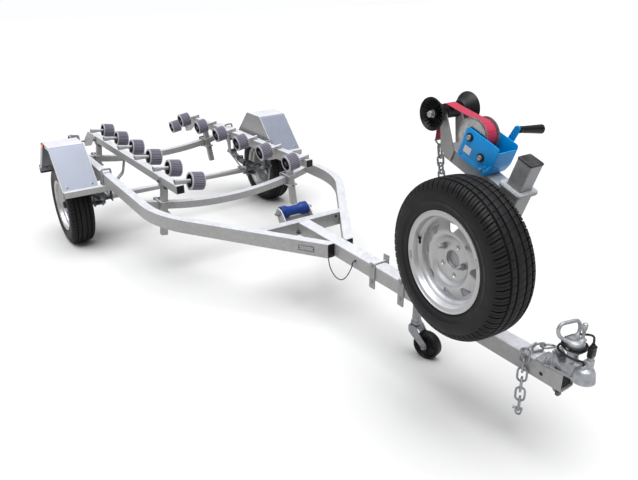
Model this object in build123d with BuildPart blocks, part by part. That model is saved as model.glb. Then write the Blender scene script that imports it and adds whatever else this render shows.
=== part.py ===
from build123d import *
import os
from math import atan2, cos, degrees, hypot, radians, sin, tan

# Boat trailer. Millimetres. +X runs forward to the coupling, +Y to the trailer's left, +Z up.
# The origin is the centre of the coupling's ball socket. Everything is drawn square to the drawbar,
# then turned nose-down about the origin by park_angle, the attitude in which the trailer stands
# on its two road wheels and its jockey wheel.

os.makedirs("parts", exist_ok=True)

# Attitude and running gear
park_angle = 3.5                 # degrees nose-down
axle_x = -3585.0
axle_z = -297.5
half_track = 811.0
tyre_radius = 287.5
tyre_width = 171.0
disc_offset = 22.0               # disc's fixing face outboard of the wheel's middle
stud_circle = 114.3
stud_start = 39.5                # degrees, first stud hole
axle_radius = 22.5

# Frame
frame_top = -5.0                 # top of drawbar, rails and cross bar
rail_height = 75.0
rail_width = 50.0
rail_wall = 4.0
rail_y = 635.0                   # middle of a rail beside the wheels
rail_bend_x = -2290.0            # corner of a rail's middle line
rail_bend_radius = 680.0
rail_slant = 33.2                # degrees, towards the drawbar
rail_rear_x = -4100.0
rail_cut_x = -1395.0             # rails' front ends, square to X
drawbar_size = 75.0
drawbar_front_x = -52.0
cross_bar_x = -1756.0
cross_bar_width = 50.0

# Hull supports
beam_size = 50.0
beam_y = 451.0
pivot_radius = 10.0
beam_front_x = -2363.0
beam_front_z = 110.0             # top of the beam at its front end
beam_slope = 1.7                 # degrees, falling rearwards
tail_bend_x = -4212.0            # bend of the beam's middle line
tail_end = (-4386.0, -82.0)      # middle of the bent-down tail's end
pivot = (-4362.0, -52.0)         # swing arm's pin through the tail
roller_radius = 55.0
roller_length = 84.0
roller_bore = 12.2
roller_y = 333.0
roller_count = 6
roller_first_x = -2405.0
roller_pitch = 350.0
hull_vee = 9.5                   # degrees, outer ends of the roller pipes upwards
pipe_rise = 16.6                 # pipe's middle above the beam's top, over the beam's middle
pipe_radius = 12.0
tail_roller_x = -4760.0
tail_roller_y = 476.0
tail_roller_z = -143.0

parked = Rotation(0, park_angle, 0)


def save(part, name):
    piece = parked * part
    piece.label = name
    export_step(piece, f"parts/{name}.step")


def beam_top(x):
    return beam_front_z + (x - beam_front_x) * tan(radians(beam_slope))


sides = (("left", 1), ("right", -1))

# ---- Frame ----

# Drawbar: square tube from the cross bar to the coupling
with BuildPart() as drawbar:
    drawbar_length = drawbar_front_x - cross_bar_x - cross_bar_width / 2
    with BuildSketch(Plane.YZ.offset(cross_bar_x + cross_bar_width / 2)):
        with Locations((0, frame_top - drawbar_size / 2)):
            RectangleRounded(drawbar_size, drawbar_size, 8)
            Rectangle(drawbar_size - 2 * rail_wall, drawbar_size - 2 * rail_wall, mode=Mode.SUBTRACT)
    extrude(amount=drawbar_length)
save(drawbar.part, "drawbar")

# Side rails: straight beside the wheels, then bent in to the drawbar
rail_tip_y = drawbar_size / 2
rail_tip_x = rail_bend_x + (rail_y - rail_tip_y) / tan(radians(rail_slant))
with BuildPart() as side_rails:
    for width, height in ((rail_width, rail_height), (rail_width - 2 * rail_wall, rail_height - 2 * rail_wall)):
        with BuildSketch(Plane.XY.offset(frame_top - rail_height / 2 - height / 2)):
            with BuildLine():
                FilletPolyline(
                    (rail_rear_x, rail_y),
                    (rail_bend_x, rail_y),
                    (rail_tip_x + 60, rail_tip_y - 60 * tan(radians(rail_slant))),
                    radius=rail_bend_radius,
                )
            trace(line_width=width)
        extrude(amount=height, mode=Mode.ADD if width == rail_width else Mode.SUBTRACT)
    with BuildSketch(Plane.XY.offset(frame_top - rail_height)):
        with Locations((rail_tip_x, 0)):
            Rectangle(2 * abs(rail_tip_x), drawbar_size)
        with Locations((rail_cut_x + 200, 0)):
            Rectangle(400, 400)
    extrude(amount=rail_height, mode=Mode.SUBTRACT)
    mirror(about=Plane.XZ)
save(side_rails.part, "side_rails")

# Cross members: the keel roller's bar in front, and two that sag between the rails to clear the hull
hull_members = (
    # x of the middle, top at its ends, depth of the sag
    (-2677.0, -42.0, 84.0),
    (-4063.0, -80.0, 73.0),
)
member_depth = 50.0
member_height = 45.0
half_span = rail_y - rail_width / 2
slant = tan(radians(rail_slant))
with BuildPart() as cross_members:
    rail_inner_y = rail_tip_y + (rail_tip_x - cross_bar_x) * slant - rail_width / 2 / cos(radians(rail_slant))
    with BuildSketch(Plane.XY.offset(frame_top - rail_height)):
        front_edge = cross_bar_x + cross_bar_width / 2
        rear_edge = cross_bar_x - cross_bar_width / 2
        skew = cross_bar_width / 2 * slant
        with BuildLine():
            Polyline(
                (front_edge, -(rail_inner_y - skew)),
                (front_edge, rail_inner_y - skew),
                (rear_edge, rail_inner_y + skew),
                (rear_edge, -(rail_inner_y + skew)),
                close=True,
            )
        make_face()
    extrude(amount=rail_height)
    for middle_x, end_top, sag in hull_members:
        with BuildSketch(Plane.YZ.offset(middle_x - member_depth / 2)):
            with BuildLine():
                low = end_top - member_height
                upper = ThreePointArc((-half_span, end_top), (0, end_top - sag), (half_span, end_top))
                lower = ThreePointArc((-half_span, low), (0, low - sag), (half_span, low))
                Line(upper @ 0, lower @ 0)
                Line(upper @ 1, lower @ 1)
            make_face()
        extrude(amount=member_depth)
save(cross_members.part, "cross_members")

# ---- Hull supports ----

# Roller beams: square tube, plugged in front, its tail bent down towards the stern
plug_depth = 6.0
beam_path = (
    (beam_front_x, beam_front_z - beam_size / 2),
    (tail_bend_x, beam_top(tail_bend_x) - beam_size / 2),
    tail_end,
)
with BuildPart() as roller_beams:
    for size in (beam_size, beam_size - 2 * rail_wall):
        with BuildSketch(Plane.XZ.offset(-(beam_y + size / 2))):
            with BuildLine():
                FilletPolyline(*beam_path, radius=50)
            trace(line_width=size)
        extrude(amount=size, mode=Mode.ADD if size == beam_size else Mode.SUBTRACT)
    with Locations((beam_front_x - plug_depth / 2 - 1, beam_y, beam_path[0][1])):
        Box(plug_depth, beam_size - 4, beam_size - 4)
    with BuildSketch(Plane.XZ.offset(-(beam_y + beam_size))):
        with Locations(pivot):
            Circle(pivot_radius + 0.1)
    extrude(amount=2 * beam_size, mode=Mode.SUBTRACT)
    mirror(about=Plane.XZ)
save(roller_beams.part, "roller_beams")

# Posts that carry the beams, clamped to the cross members' front faces
post_size = 40.0
post_gap = 1.0
posts = (
    # cross member, y and z of the post's foot
    (*hull_members[0], 487.0, -283.0),
    (*hull_members[1], 497.0, -300.0),
)
clamp_rod = 5.0
clamp_plate = 6.0
clamp_reach = member_height / 2 + 12
with BuildPart() as beam_posts:
    for member_x, end_top, sag, foot_y, foot_z in posts:
        post_x = member_x + member_depth / 2 + post_size / 2 + post_gap
        top_z = beam_top(post_x) - beam_size - 5.5
        post_way = Vector(0, beam_y - foot_y, top_z - foot_z)
        post_plane = Plane(origin=(post_x, foot_y, foot_z), x_dir=(1, 0, 0), z_dir=post_way)
        with BuildSketch(post_plane):
            RectangleRounded(post_size, post_size, 5)
        extrude(amount=post_way.length)
        # flat head under the beam, and the ear bolted to the beam's side
        with Locations((post_x, beam_y, top_z + 2)):
            Box(post_size + 20, post_size + 8, 4)
        # plate behind the cross member, and two square U bolts round the post
        clamp_z = end_top - sag * (1 - (beam_y / half_span) ** 2) - member_height / 2
        along = post_way.length * (clamp_z - foot_z) / post_way.Z
        rear_x = -(post_size / 2 + post_gap + member_depth + clamp_plate / 2 + 1)
        front_x = post_size / 2 + clamp_rod
        with BuildSketch(post_plane.offset(along - clamp_reach - 10)):
            with Locations((rear_x, 0)):
                Rectangle(clamp_plate, 84)
        extrude(amount=2 * clamp_reach + 20)
        for height in (-clamp_reach, clamp_reach):
            with BuildSketch(post_plane.offset(along + height - clamp_rod)):
                with Locations(((rear_x + front_x) / 2, 0)):
                    Rectangle(front_x - rear_x, post_size + 4 * clamp_rod)
                    Rectangle(front_x - rear_x + 1, post_size, mode=Mode.SUBTRACT)
                with Locations((front_x, 0)):
                    Rectangle(clamp_rod * 2, post_size + 4 * clamp_rod)
            extrude(amount=2 * clamp_rod)
    mirror(about=Plane.XZ)
save(beam_posts.part, "beam_posts")

# Pipes on the beams that the hull rollers turn on, square blocks under them,
# and the swing arms behind the beams' tails with the tail rollers' pins
vee = radians(hull_vee)
roller_reach = (beam_y - roller_y) / cos(vee)      # from over the beam's middle to the roller's
roller_drop = (beam_y - roller_y) * tan(vee)
pipe_outer = 18.0
pipe_inner = roller_reach + roller_length / 2 - 8
roller_spots = [roller_first_x - number * roller_pitch for number in range(roller_count)]
arm_wall = 8.0
arm_gap = 16.0
arm_y = tail_roller_y + roller_length / 2 + arm_gap
arm_depth = 26.0
pin_end = 66.0                   # tail roller's pin, from the roller's middle to the arm
arm_end = (tail_roller_x, tail_roller_z + (pin_end - arm_wall / 2) * tan(vee))
arm_run = (arm_end[0] - pivot[0], arm_end[1] - pivot[1])
with BuildPart() as roller_axles:
    for roller_x in roller_spots:
        pipe_place = Pos(roller_x, beam_y, beam_top(roller_x) + pipe_rise) * Rot(hull_vee, 0, 0)
        with Locations(Pos(roller_x, beam_y - 4, beam_top(roller_x) + pipe_rise / 2) * Rot(0, -beam_slope, 0)):
            Box(32, 34, pipe_rise - 0.6)
        with Locations(pipe_place * Pos(0, (pipe_outer - pipe_inner) / 2, 0) * Rot(90, 0, 0)):
            Cylinder(pipe_radius, pipe_outer + pipe_inner)
            Cylinder(pipe_radius - 3.5, pipe_outer + pipe_inner + 1, mode=Mode.SUBTRACT)
    with BuildSketch(Plane.XZ.offset(-(arm_y + arm_wall))):
        with Locations(((pivot[0] + arm_end[0]) / 2, (pivot[1] + arm_end[1]) / 2)):
            SlotCenterToCenter(hypot(*arm_run), arm_depth, rotation=degrees(atan2(arm_run[1], arm_run[0])))
    extrude(amount=arm_wall)
    # pivot pin through the beam's tail
    with BuildSketch(Plane.XZ.offset(-(arm_y + arm_wall + 6))):
        with Locations(pivot):
            Circle(pivot_radius)
    extrude(amount=arm_y + arm_wall + 6 - (beam_y - beam_size / 2 - 6))
    # tail roller's pin, tilted like the hull rollers
    pin_start = 8 - roller_length / 2
    with Locations(Pos(tail_roller_x, tail_roller_y, tail_roller_z) * Rot(hull_vee, 0, 0)
                   * Pos(0, (pin_end + pin_start) / 2, 0) * Rot(90, 0, 0)):
        Cylinder(pipe_radius, pin_end - pin_start)
    mirror(about=Plane.XZ)
save(roller_axles.part, "roller_axles")


# Hull rollers, all alike: tread, a hollow at each end, and a hub that stops short of the tread
rim_wall = 14.0
hollow_depth = 32.0
hub_wall = 6.0
hub_inset = 8.0
with BuildPart() as roller:
    with BuildSketch(Plane.XZ.offset(-roller_length / 2)):
        Circle(roller_radius)
        Circle(roller_bore, mode=Mode.SUBTRACT)
    extrude(amount=roller_length)
    for way in (-1, 1):
        with BuildSketch(Plane.XZ.offset(way * roller_length / 2)):
            Circle(roller_radius - rim_wall)
        extrude(amount=-hub_inset * way, mode=Mode.SUBTRACT)
        with BuildSketch(Plane.XZ.offset(way * roller_length / 2)):
            Circle(roller_radius - rim_wall)
            Circle(roller_bore + hub_wall, mode=Mode.SUBTRACT)
        extrude(amount=-hollow_depth * way, mode=Mode.SUBTRACT)

for side, sign in sides:
    for number, roller_x in enumerate(roller_spots, start=1):
        roller_z = beam_top(roller_x) + pipe_rise - roller_drop
        save(Pos(roller_x, sign * roller_y, roller_z) * Rot(sign * hull_vee, 0, 0) * roller.part,
             f"hull_roller_{side}_{number}")
    save(Pos(tail_roller_x, sign * tail_roller_y, tail_roller_z) * Rot(sign * hull_vee, 0, 0) * roller.part,
         f"tail_roller_{side}")

# Keel roller behind the front cross bar, narrow in the middle, and its cradle
bar_rear_x = cross_bar_x - cross_bar_width / 2
keel_gap = 65.0                  # from the cross bar's rear face to the keel roller's pin
keel_roller_x = bar_rear_x - keel_gap
keel_roller_z = 22.0
keel_half = 85.0
keel_bore = 8.2
keel_pin = 8.0
keel_profile = (
    # distance from the middle, radius; left end to right end
    (-keel_half, 35.0),
    (-keel_half + 2, 36.0),
    (-50, 36.0),
    (-30, 27.5),
    (30, 27.5),
    (50, 36.0),
    (keel_half - 2, 36.0),
    (keel_half, 35.0),
)
with BuildPart() as keel_roller:
    with BuildSketch(Plane.YZ):
        with BuildLine():
            Polyline(*keel_profile, (keel_half, keel_bore), (-keel_half, keel_bore), close=True)
        make_face()
    revolve(axis=Axis.Y)
save(Pos(keel_roller_x, 0, keel_roller_z) * keel_roller.part, "keel_roller")

cradle_wall = 6.0
cradle_inner_y = keel_half + 3
cradle_web_x = keel_roller_x + 15
cradle_low_z = frame_top - rail_height + 20
with BuildPart() as keel_roller_cradle:
    # cheeks from the bar's rear face up to the pin
    for sign in (-1, 1):
        with BuildSketch(Plane.XZ.offset(-sign * cradle_inner_y)):
            with BuildLine():
                Polyline(
                    (bar_rear_x - 0.2, cradle_low_z),
                    (bar_rear_x - 0.2, frame_top + 3),
                    (keel_roller_x + 22, keel_roller_z + 22),
                    (keel_roller_x - 8, keel_roller_z + 28),
                    (keel_roller_x - 34, keel_roller_z + 6),
                    (keel_roller_x + 6, frame_top - 40),
                    (keel_roller_x + 30, cradle_low_z),
                    close=True,
                )
            make_face()
        extrude(amount=-cradle_wall * sign)
    # foot against the bar, and the web under the roller
    with Locations((bar_rear_x - 3.2, 0, (cradle_low_z + frame_top - 12) / 2)):
        Box(cradle_wall, 2 * (cradle_inner_y + cradle_wall), frame_top - 12 - cradle_low_z)
    with Locations((cradle_web_x, 0, frame_top - 31)):
        Box(cradle_wall, 2 * cradle_inner_y, 42)
    with Locations(((bar_rear_x + cradle_web_x) / 2 - 3, 0, frame_top - 49)):
        Box(bar_rear_x - cradle_web_x, 2 * cradle_inner_y, 6)
    with BuildSketch(Plane.XZ.offset(-(cradle_inner_y + cradle_wall + 8))):
        with Locations((keel_roller_x, keel_roller_z)):
            Circle(keel_pin)
    extrude(amount=2 * (cradle_inner_y + cradle_wall + 8))
save(keel_roller_cradle.part, "keel_roller_cradle")

# ---- Running gear ----

# Axle: round tube with a spindle at each end
spindle_radius = 15.0
hub_length = 84.0                # hub's barrel, inboard of the wheel's fixing face
axle_gap = 7.0                   # from the axle tube's end to the hub
axle_end_y = half_track + disc_offset - hub_length - axle_gap
spindle_end_y = half_track + 12
with BuildPart() as axle_beam:
    with BuildSketch(Plane.XZ.offset(-axle_end_y)):
        with Locations((axle_x, axle_z)):
            Circle(axle_radius)
    extrude(amount=2 * axle_end_y)
    with BuildSketch(Plane.XZ.offset(-spindle_end_y)):
        with Locations((axle_x, axle_z)):
            Circle(spindle_radius)
    extrude(amount=2 * spindle_end_y)
save(axle_beam.part, "axle_beam")

# Leaf springs under the rails, with their hangers and the U bolts that hold the axle
spring_half = 320.0
leaf_thickness = 8.0
leaf_width = 45.0
leaf_low_z = axle_z + axle_radius + leaf_thickness / 2
leaf_camber = 54.0
leaves = (
    # half length of each leaf, from the main leaf down
    320.0,
    240.0,
    160.0,
)
with BuildPart() as leaf_springs:
    for number, half_length in enumerate(leaves):
        # the shortest leaf lies next to the axle
        low = leaf_low_z + (len(leaves) - 1 - number) * leaf_thickness
        rise = leaf_camber * (half_length / spring_half) ** 2
        with BuildSketch(Plane.XZ.offset(-(rail_y + leaf_width / 2))):
            with BuildLine():
                ThreePointArc(
                    (axle_x - half_length, low + rise),
                    (axle_x, low),
                    (axle_x + half_length, low + rise),
                )
            trace(line_width=leaf_thickness)
        extrude(amount=leaf_width)
    hanger_bottom = leaf_low_z + 2 * leaf_thickness + leaf_camber - 22
    for hanger_x in (axle_x + spring_half - 16, axle_x - spring_half + 32):
        for wall_y in (rail_y - leaf_width / 2 - 4, rail_y + leaf_width / 2 + 4):
            with Locations((hanger_x, wall_y, (frame_top - rail_height + hanger_bottom) / 2)):
                Box(48, 6, frame_top - rail_height - hanger_bottom)
        with BuildSketch(Plane.XZ.offset(-(rail_y + leaf_width / 2 + 10))):
            with Locations((hanger_x, leaf_low_z + 2 * leaf_thickness + leaf_camber)):
                Circle(10)
        extrude(amount=leaf_width + 20)
    with Locations((axle_x, rail_y, axle_z - axle_radius - 5)):
        Box(110, 84, 10)
    for bolt_x in (axle_x - axle_radius - 7, axle_x + axle_radius + 7):
        for bolt_y in (rail_y - leaf_width / 2 - 7, rail_y + leaf_width / 2 + 7):
            with Locations((bolt_x, bolt_y, axle_z + 10)):
                Box(12, 12, 2 * axle_radius + 60)
        with Locations((bolt_x, rail_y, leaf_low_z + 2 * leaf_thickness + 12)):
            Box(12, leaf_width + 26, 12)
    mirror(about=Plane.XZ)
save(leaf_springs.part, "leaf_springs")

# Mudguards: folded panel with a flat top, closed on the inner side, with a lip on the outer side
guard_inner_y = 695.0
guard_outer_y = 930.0
guard_wall = 3.0
guard_low_z = -88.0
guard_top_z = 156.0
guard_front = spring_half + 28    # the guard's ends clear the springs' hangers
guard_rear = spring_half + 2
guard_outline = (
    (axle_x + guard_front, guard_low_z),
    (axle_x + guard_front - 230, guard_top_z),
    (axle_x - guard_rear + 230, guard_top_z),
    (axle_x - guard_rear, guard_low_z),
)
with BuildPart() as mudguards:
    with BuildSketch(Plane.XZ.offset(-guard_outer_y)):
        with BuildLine():
            panel_line = Polyline(*guard_outline)
            inner_line = Polyline(*[(x + (axle_x + 13 - x) * 0.014, z - guard_wall) if z > 0
                                    else (x + (guard_wall + 1.2) * (1 if x < axle_x else -1), z)
                                    for x, z in guard_outline])
            Line(panel_line @ 0, inner_line @ 0)
            Line(panel_line @ 1, inner_line @ 1)
        make_face()
    extrude(amount=guard_outer_y - guard_inner_y)
    with BuildSketch(Plane.XZ.offset(-(guard_inner_y + guard_wall))):
        with BuildLine():
            Polyline(*guard_outline, close=True)
        make_face()
    extrude(amount=guard_wall)
    with BuildSketch(Plane.XZ.offset(-guard_outer_y)):
        with BuildLine():
            Polyline(*guard_outline, close=True)
        make_face()
        with BuildLine():
            Polyline(
                (axle_x + guard_front - 30, guard_low_z),
                (axle_x + guard_front - 244, guard_top_z - 22),
                (axle_x - guard_rear + 244, guard_top_z - 22),
                (axle_x - guard_rear + 30, guard_low_z),
                close=True,
            )
        make_face(mode=Mode.SUBTRACT)
    extrude(amount=guard_wall)
    mirror(about=Plane.XZ)
save(mudguards.part, "mudguards")

# Angle irons under the guards' lower edges, held to the rails by U bolts
stay_inner_y = rail_y - 22
u_rod = 5.0                      # half width of a U bolt's rod
u_top = frame_top + 30
with BuildPart() as guard_stays:
    for stay_x, way in ((axle_x + guard_front - 10, 1), (axle_x - guard_rear + 8, -1)):
        stay_top = frame_top - rail_height - 8.5
        with Locations((stay_x + 20 * way, (guard_outer_y + stay_inner_y) / 2, stay_top - 2)):
            Box(40, guard_outer_y - stay_inner_y, 4)
        with Locations((stay_x + 38 * way, (guard_outer_y + stay_inner_y) / 2, stay_top - 20)):
            Box(4, guard_outer_y - stay_inner_y, 40)
        bolt_x = stay_x + 18 * way
        with BuildSketch(Plane.YZ.offset(bolt_x - u_rod)):
            with Locations((rail_y, (u_top + stay_top - 24) / 2)):
                RectangleRounded(rail_width + 4 * u_rod + 1, u_top - stay_top + 24, 16)
                Rectangle(rail_width + 1, u_top - stay_top + 24 - 4 * u_rod, mode=Mode.SUBTRACT)
            with Locations((rail_y, stay_top - 34)):
                Rectangle(rail_width + 1, 60, mode=Mode.SUBTRACT)
        extrude(amount=2 * u_rod)
        with Locations((bolt_x, rail_y, stay_top + 4.25)):
            Box(30, rail_width, 8.4)
    mirror(about=Plane.XZ)
save(guard_stays.part, "guard_stays")

# Bent stays from the beams down to the axle's clamps
with BuildPart() as axle_stays:
    stay_points = (
        (axle_x + 85, beam_y - 29.5, -10),
        (axle_x + 70, beam_y - 11, -112),
        (axle_x, rail_y - 75, axle_z + 35.5),
    )
    stay_way = Vector(stay_points[1]) - Vector(stay_points[0])
    with BuildLine():
        FilletPolyline(*stay_points, radius=60)
    with BuildSketch(Plane(origin=stay_points[0], x_dir=(1, 0, 0), z_dir=stay_way)):
        Rectangle(32, 8)
    sweep()
    with Locations((axle_x + 85, beam_y - 29.5, 20)):
        Box(50, 8, 60)
    with Locations((axle_x, rail_y - 69, axle_z + axle_radius + 5)):
        Box(60, 44, 10)
    mirror(about=Plane.XZ)
save(axle_stays.part, "axle_stays")

# ---- Wheels ----

rim_barrel = (
    # along the axle from the middle, radius; one half, outside then inside
    (0, 148), (40, 148), (51, 161), (70, 165), (72, 182), (78, 182),
    (78, 177), (75.5, 176), (73.5, 161), (52, 157), (42, 144), (0, 144),
)
disc_profile = (
    # along the axle from the middle, radius: across the fixing face, over the spoke ring, to the barrel
    (22, 34), (22, 80), (40, 94), (23, 140), (16, 145),
    (26, 145), (31, 140), (46, 98), (44, 92), (27, 77), (27, 34),
)
with BuildPart() as rim:
    with BuildSketch(Plane.XY):
        for way in (1, -1):
            with BuildLine():
                Polyline(*[(radius, way * along) for along, radius in rim_barrel], close=True)
            make_face()
    revolve(axis=Axis.Y)
    with BuildSketch(Plane.XY):
        with BuildLine():
            Polyline(*[(radius, along) for along, radius in disc_profile], close=True)
        make_face()
    revolve(axis=Axis.Y)
    # eight windows, five stud holes
    with BuildSketch(Plane.XZ.offset(-60)):
        with PolarLocations(0, 8):
            with BuildLine():
                Polyline((101, -7), (101, 7), (134, 29), (134, -29), close=True)
            make_face()
    extrude(amount=60, mode=Mode.SUBTRACT)
    with BuildSketch(Plane.XZ.offset(-60)):
        with PolarLocations(stud_circle / 2, 5, start_angle=stud_start):
            Circle(7)
    extrude(amount=60, mode=Mode.SUBTRACT)

bead_y = 69.5
with BuildPart() as tyre:
    with BuildSketch(Plane.XY):
        with BuildLine():
            Polyline((165.6, bead_y), (183, bead_y), (184.5, 76))
            ThreePointArc((184.5, 76), (228, tyre_width / 2), (268, 75))
            Polyline((268, 75), (280, 63), (285.5, 43), (tyre_radius, 0), (285.5, -43), (280, -63), (268, -75))
            ThreePointArc((268, -75), (228, -tyre_width / 2), (184.5, -76))
            Polyline((184.5, -76), (183, -bead_y), (165.6, -bead_y), (165.6, -58), (196, -66))
            ThreePointArc((196, -66), (232, -75), (262, -64))
            Polyline((262, -64), (274, -40), (274, 40), (262, 64))
            ThreePointArc((262, 64), (232, 75), (196, 66))
            Polyline((196, 66), (165.6, 58), (165.6, bead_y))
        make_face()
    revolve(axis=Axis.Y)

# Hub: fixing flange, barrel bored for the spindle, dust cap
hub_face = disc_offset
with BuildPart() as hub:
    with BuildSketch(Plane.XY):
        with BuildLine():
            Polyline(
                (spindle_radius + 0.5, hub_face - hub_length),
                (36, hub_face - hub_length),
                (40, hub_face - 12),
                (74, hub_face - 12),
                (74, hub_face),
                (33, hub_face),
                (26, hub_face + 8),
                (25, hub_face + 40),
                (20, hub_face + 44),
                (0, hub_face + 44),
                (0, hub_face + 4),
                (spindle_radius + 0.5, hub_face + 4),
                close=True,
            )
        make_face()
    revolve(axis=Axis.Y)

for side, sign in sides:
    turn = Rot(0, 0, 0) if sign > 0 else Rot(0, 0, 180)
    wheel_place = Pos(axle_x, sign * half_track, axle_z) * turn
    save(wheel_place * rim.part, f"rim_{side}")
    save(wheel_place * tyre.part, f"tyre_{side}")
    save(wheel_place * hub.part, f"hub_{side}")

# Spare wheel on its carrier beside the winch post
spare_x = -399.0
spare_y = -224.0
spare_z = 356.0
spare_yaw = -4.0                 # degrees, its face turned rearwards
spare_place = Pos(spare_x, spare_y, spare_z) * Rot(0, 0, 180 + spare_yaw)
save(spare_place * rim.part, "spare_rim")
save(spare_place * tyre.part, "spare_tyre")

# ---- Winch post ----

post_angle = 19.0                # degrees, leaning forward
post_foot = (-562.0, frame_top)
post_tube = 64.0
sleeve_tube = 80.0
sleeve_low = 300.0
arm_top = 596.0                  # top of the arm that carries the winch, up the post
sleeve_high = arm_top + 26
post_height = sleeve_high + 104
lean = radians(post_angle)
# the post's own plane: x forward across it, z up along it
post_frame = Plane(origin=(post_foot[0], 0, post_foot[1]), x_dir=(cos(lean), 0, -sin(lean)),
                   z_dir=(sin(lean), 0, cos(lean)))


with BuildPart() as winch_post:
    with BuildSketch(post_frame.offset(20)):
        RectangleRounded(post_tube, post_tube, 6)
    extrude(amount=post_height - 20)
    # foot plates on both sides of the drawbar
    for foot_y in (-(drawbar_size / 2 + 4), drawbar_size / 2 + 4):
        with BuildSketch(Plane.XZ.offset(-(foot_y + 3.5))):
            with BuildLine():
                Polyline(
                    (post_foot[0] - 90, -98),
                    (post_foot[0] + 70, -98),
                    (post_foot[0] + 70, -5),
                    (post_foot[0] + 88, 120),
                    (post_foot[0] + 8, 120),
                    (post_foot[0] - 90, 0),
                    close=True,
                )
            make_face()
        extrude(amount=7)
    for bolt_x, bolt_z in ((-625, -88), (-520, -88), (-500, 84)):
        with BuildSketch(Plane.XZ.offset(-(drawbar_size / 2 + 16))):
            with Locations((bolt_x, bolt_z)):
                Circle(6)
        extrude(amount=drawbar_size + 32)
save(winch_post.part, "winch_post")

with BuildPart() as winch_sleeve:
    with BuildSketch(post_frame.offset(sleeve_low)):
        RectangleRounded(sleeve_tube, sleeve_tube, 8)
        Rectangle(post_tube + 1, post_tube + 1, mode=Mode.SUBTRACT)
    extrude(amount=sleeve_high - sleeve_low)
    with BuildSketch(post_frame.offset(sleeve_high - 14)):
        RectangleRounded(sleeve_tube + 20, sleeve_tube + 20, 12)
        Rectangle(sleeve_tube - 4, sleeve_tube - 4, mode=Mode.SUBTRACT)
    extrude(amount=14)
save(winch_sleeve.part, "winch_sleeve")

# Arm from the sleeve back to the bow roller, square to the post
arm_width = 72.0
arm_rear = 330.0
with BuildPart(post_frame) as winch_arm:
    arm_front = sleeve_tube / 2 + 0.5
    with Locations((-(arm_front + arm_rear) / 2, 0, arm_top - 3)):
        Box(arm_rear - arm_front, arm_width, 6)
    for wall_y in (-(arm_width / 2 - 3), arm_width / 2 - 3):
        with Locations((-(arm_front + arm_rear) / 2, wall_y, arm_top - 25)):
            Box(arm_rear - arm_front, 6, 50)
save(winch_arm.part, "winch_arm")

# Bow roller between two bars from the arm's end
bow_back = 397.5
bow_up = arm_top + 98.5
bow_cone = (
    # distance from the middle, radius: a cone outboard of each bar
    (46.0, 32.0),
    (96.0, 62.0),
)
bow_spool = (33.0, 27.0)         # half length, radius, between the bars
bow_pin = 7.0
bow_bore = 7.2
bar_y = 39.5


def post_side(side_y):
    return Plane(origin=(post_foot[0], side_y, post_foot[1]), x_dir=post_frame.x_dir, z_dir=(0, -1, 0))


with BuildPart() as bow_roller_bracket:
    for wall_y in (-bar_y, bar_y):
        with BuildSketch(post_side(wall_y + 3)):
            with BuildLine():
                Polyline(
                    (-arm_rear + 48, arm_top - 46),
                    (-arm_rear + 48, arm_top - 2),
                    (-bow_back + 16, bow_up + 14),
                    (-bow_back - 16, bow_up + 14),
                    (-arm_rear - 14, arm_top - 30),
                    close=True,
                )
            make_face()
        extrude(amount=6)
    with BuildSketch(post_side(104)):
        with Locations((-bow_back, bow_up)):
            Circle(bow_pin)
    extrude(amount=208)
    for end_y in (106, -98):
        with BuildSketch(post_side(end_y)):
            with Locations((-bow_back, bow_up)):
                RegularPolygon(12, 6)
        extrude(amount=8)
save(bow_roller_bracket.part, "bow_roller_bracket")

with BuildPart() as bow_roller:
    for half_length, radius in (bow_spool,):
        with BuildSketch(post_side(half_length)):
            with Locations((-bow_back, bow_up)):
                Circle(radius)
                Circle(bow_bore, mode=Mode.SUBTRACT)
        extrude(amount=2 * half_length)
    for way in (1, -1):
        (near, near_radius), (far, far_radius) = bow_cone
        with BuildSketch(post_side(way * near)):
            with Locations((-bow_back, bow_up)):
                Circle(near_radius)
        with BuildSketch(post_side(way * far)):
            with Locations((-bow_back, bow_up)):
                Circle(far_radius)
        loft()
        with BuildSketch(post_side(way * (near + 8))):
            with Locations((-bow_back, bow_up)):
                Circle(near_radius - 10)
                Circle(bow_pin + 9, mode=Mode.SUBTRACT)
        with BuildSketch(post_side(way * (far + 1))):
            with Locations((-bow_back, bow_up)):
                Circle(far_radius - 7)
                Circle(bow_pin + 9, mode=Mode.SUBTRACT)
        loft(mode=Mode.SUBTRACT)
        with BuildSketch(post_side(way * (far + 2))):
            with Locations((-bow_back, bow_up)):
                Circle(bow_bore)
        extrude(amount=way * (far - near + 4), mode=Mode.SUBTRACT)
save(bow_roller.part, "bow_roller")

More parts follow.
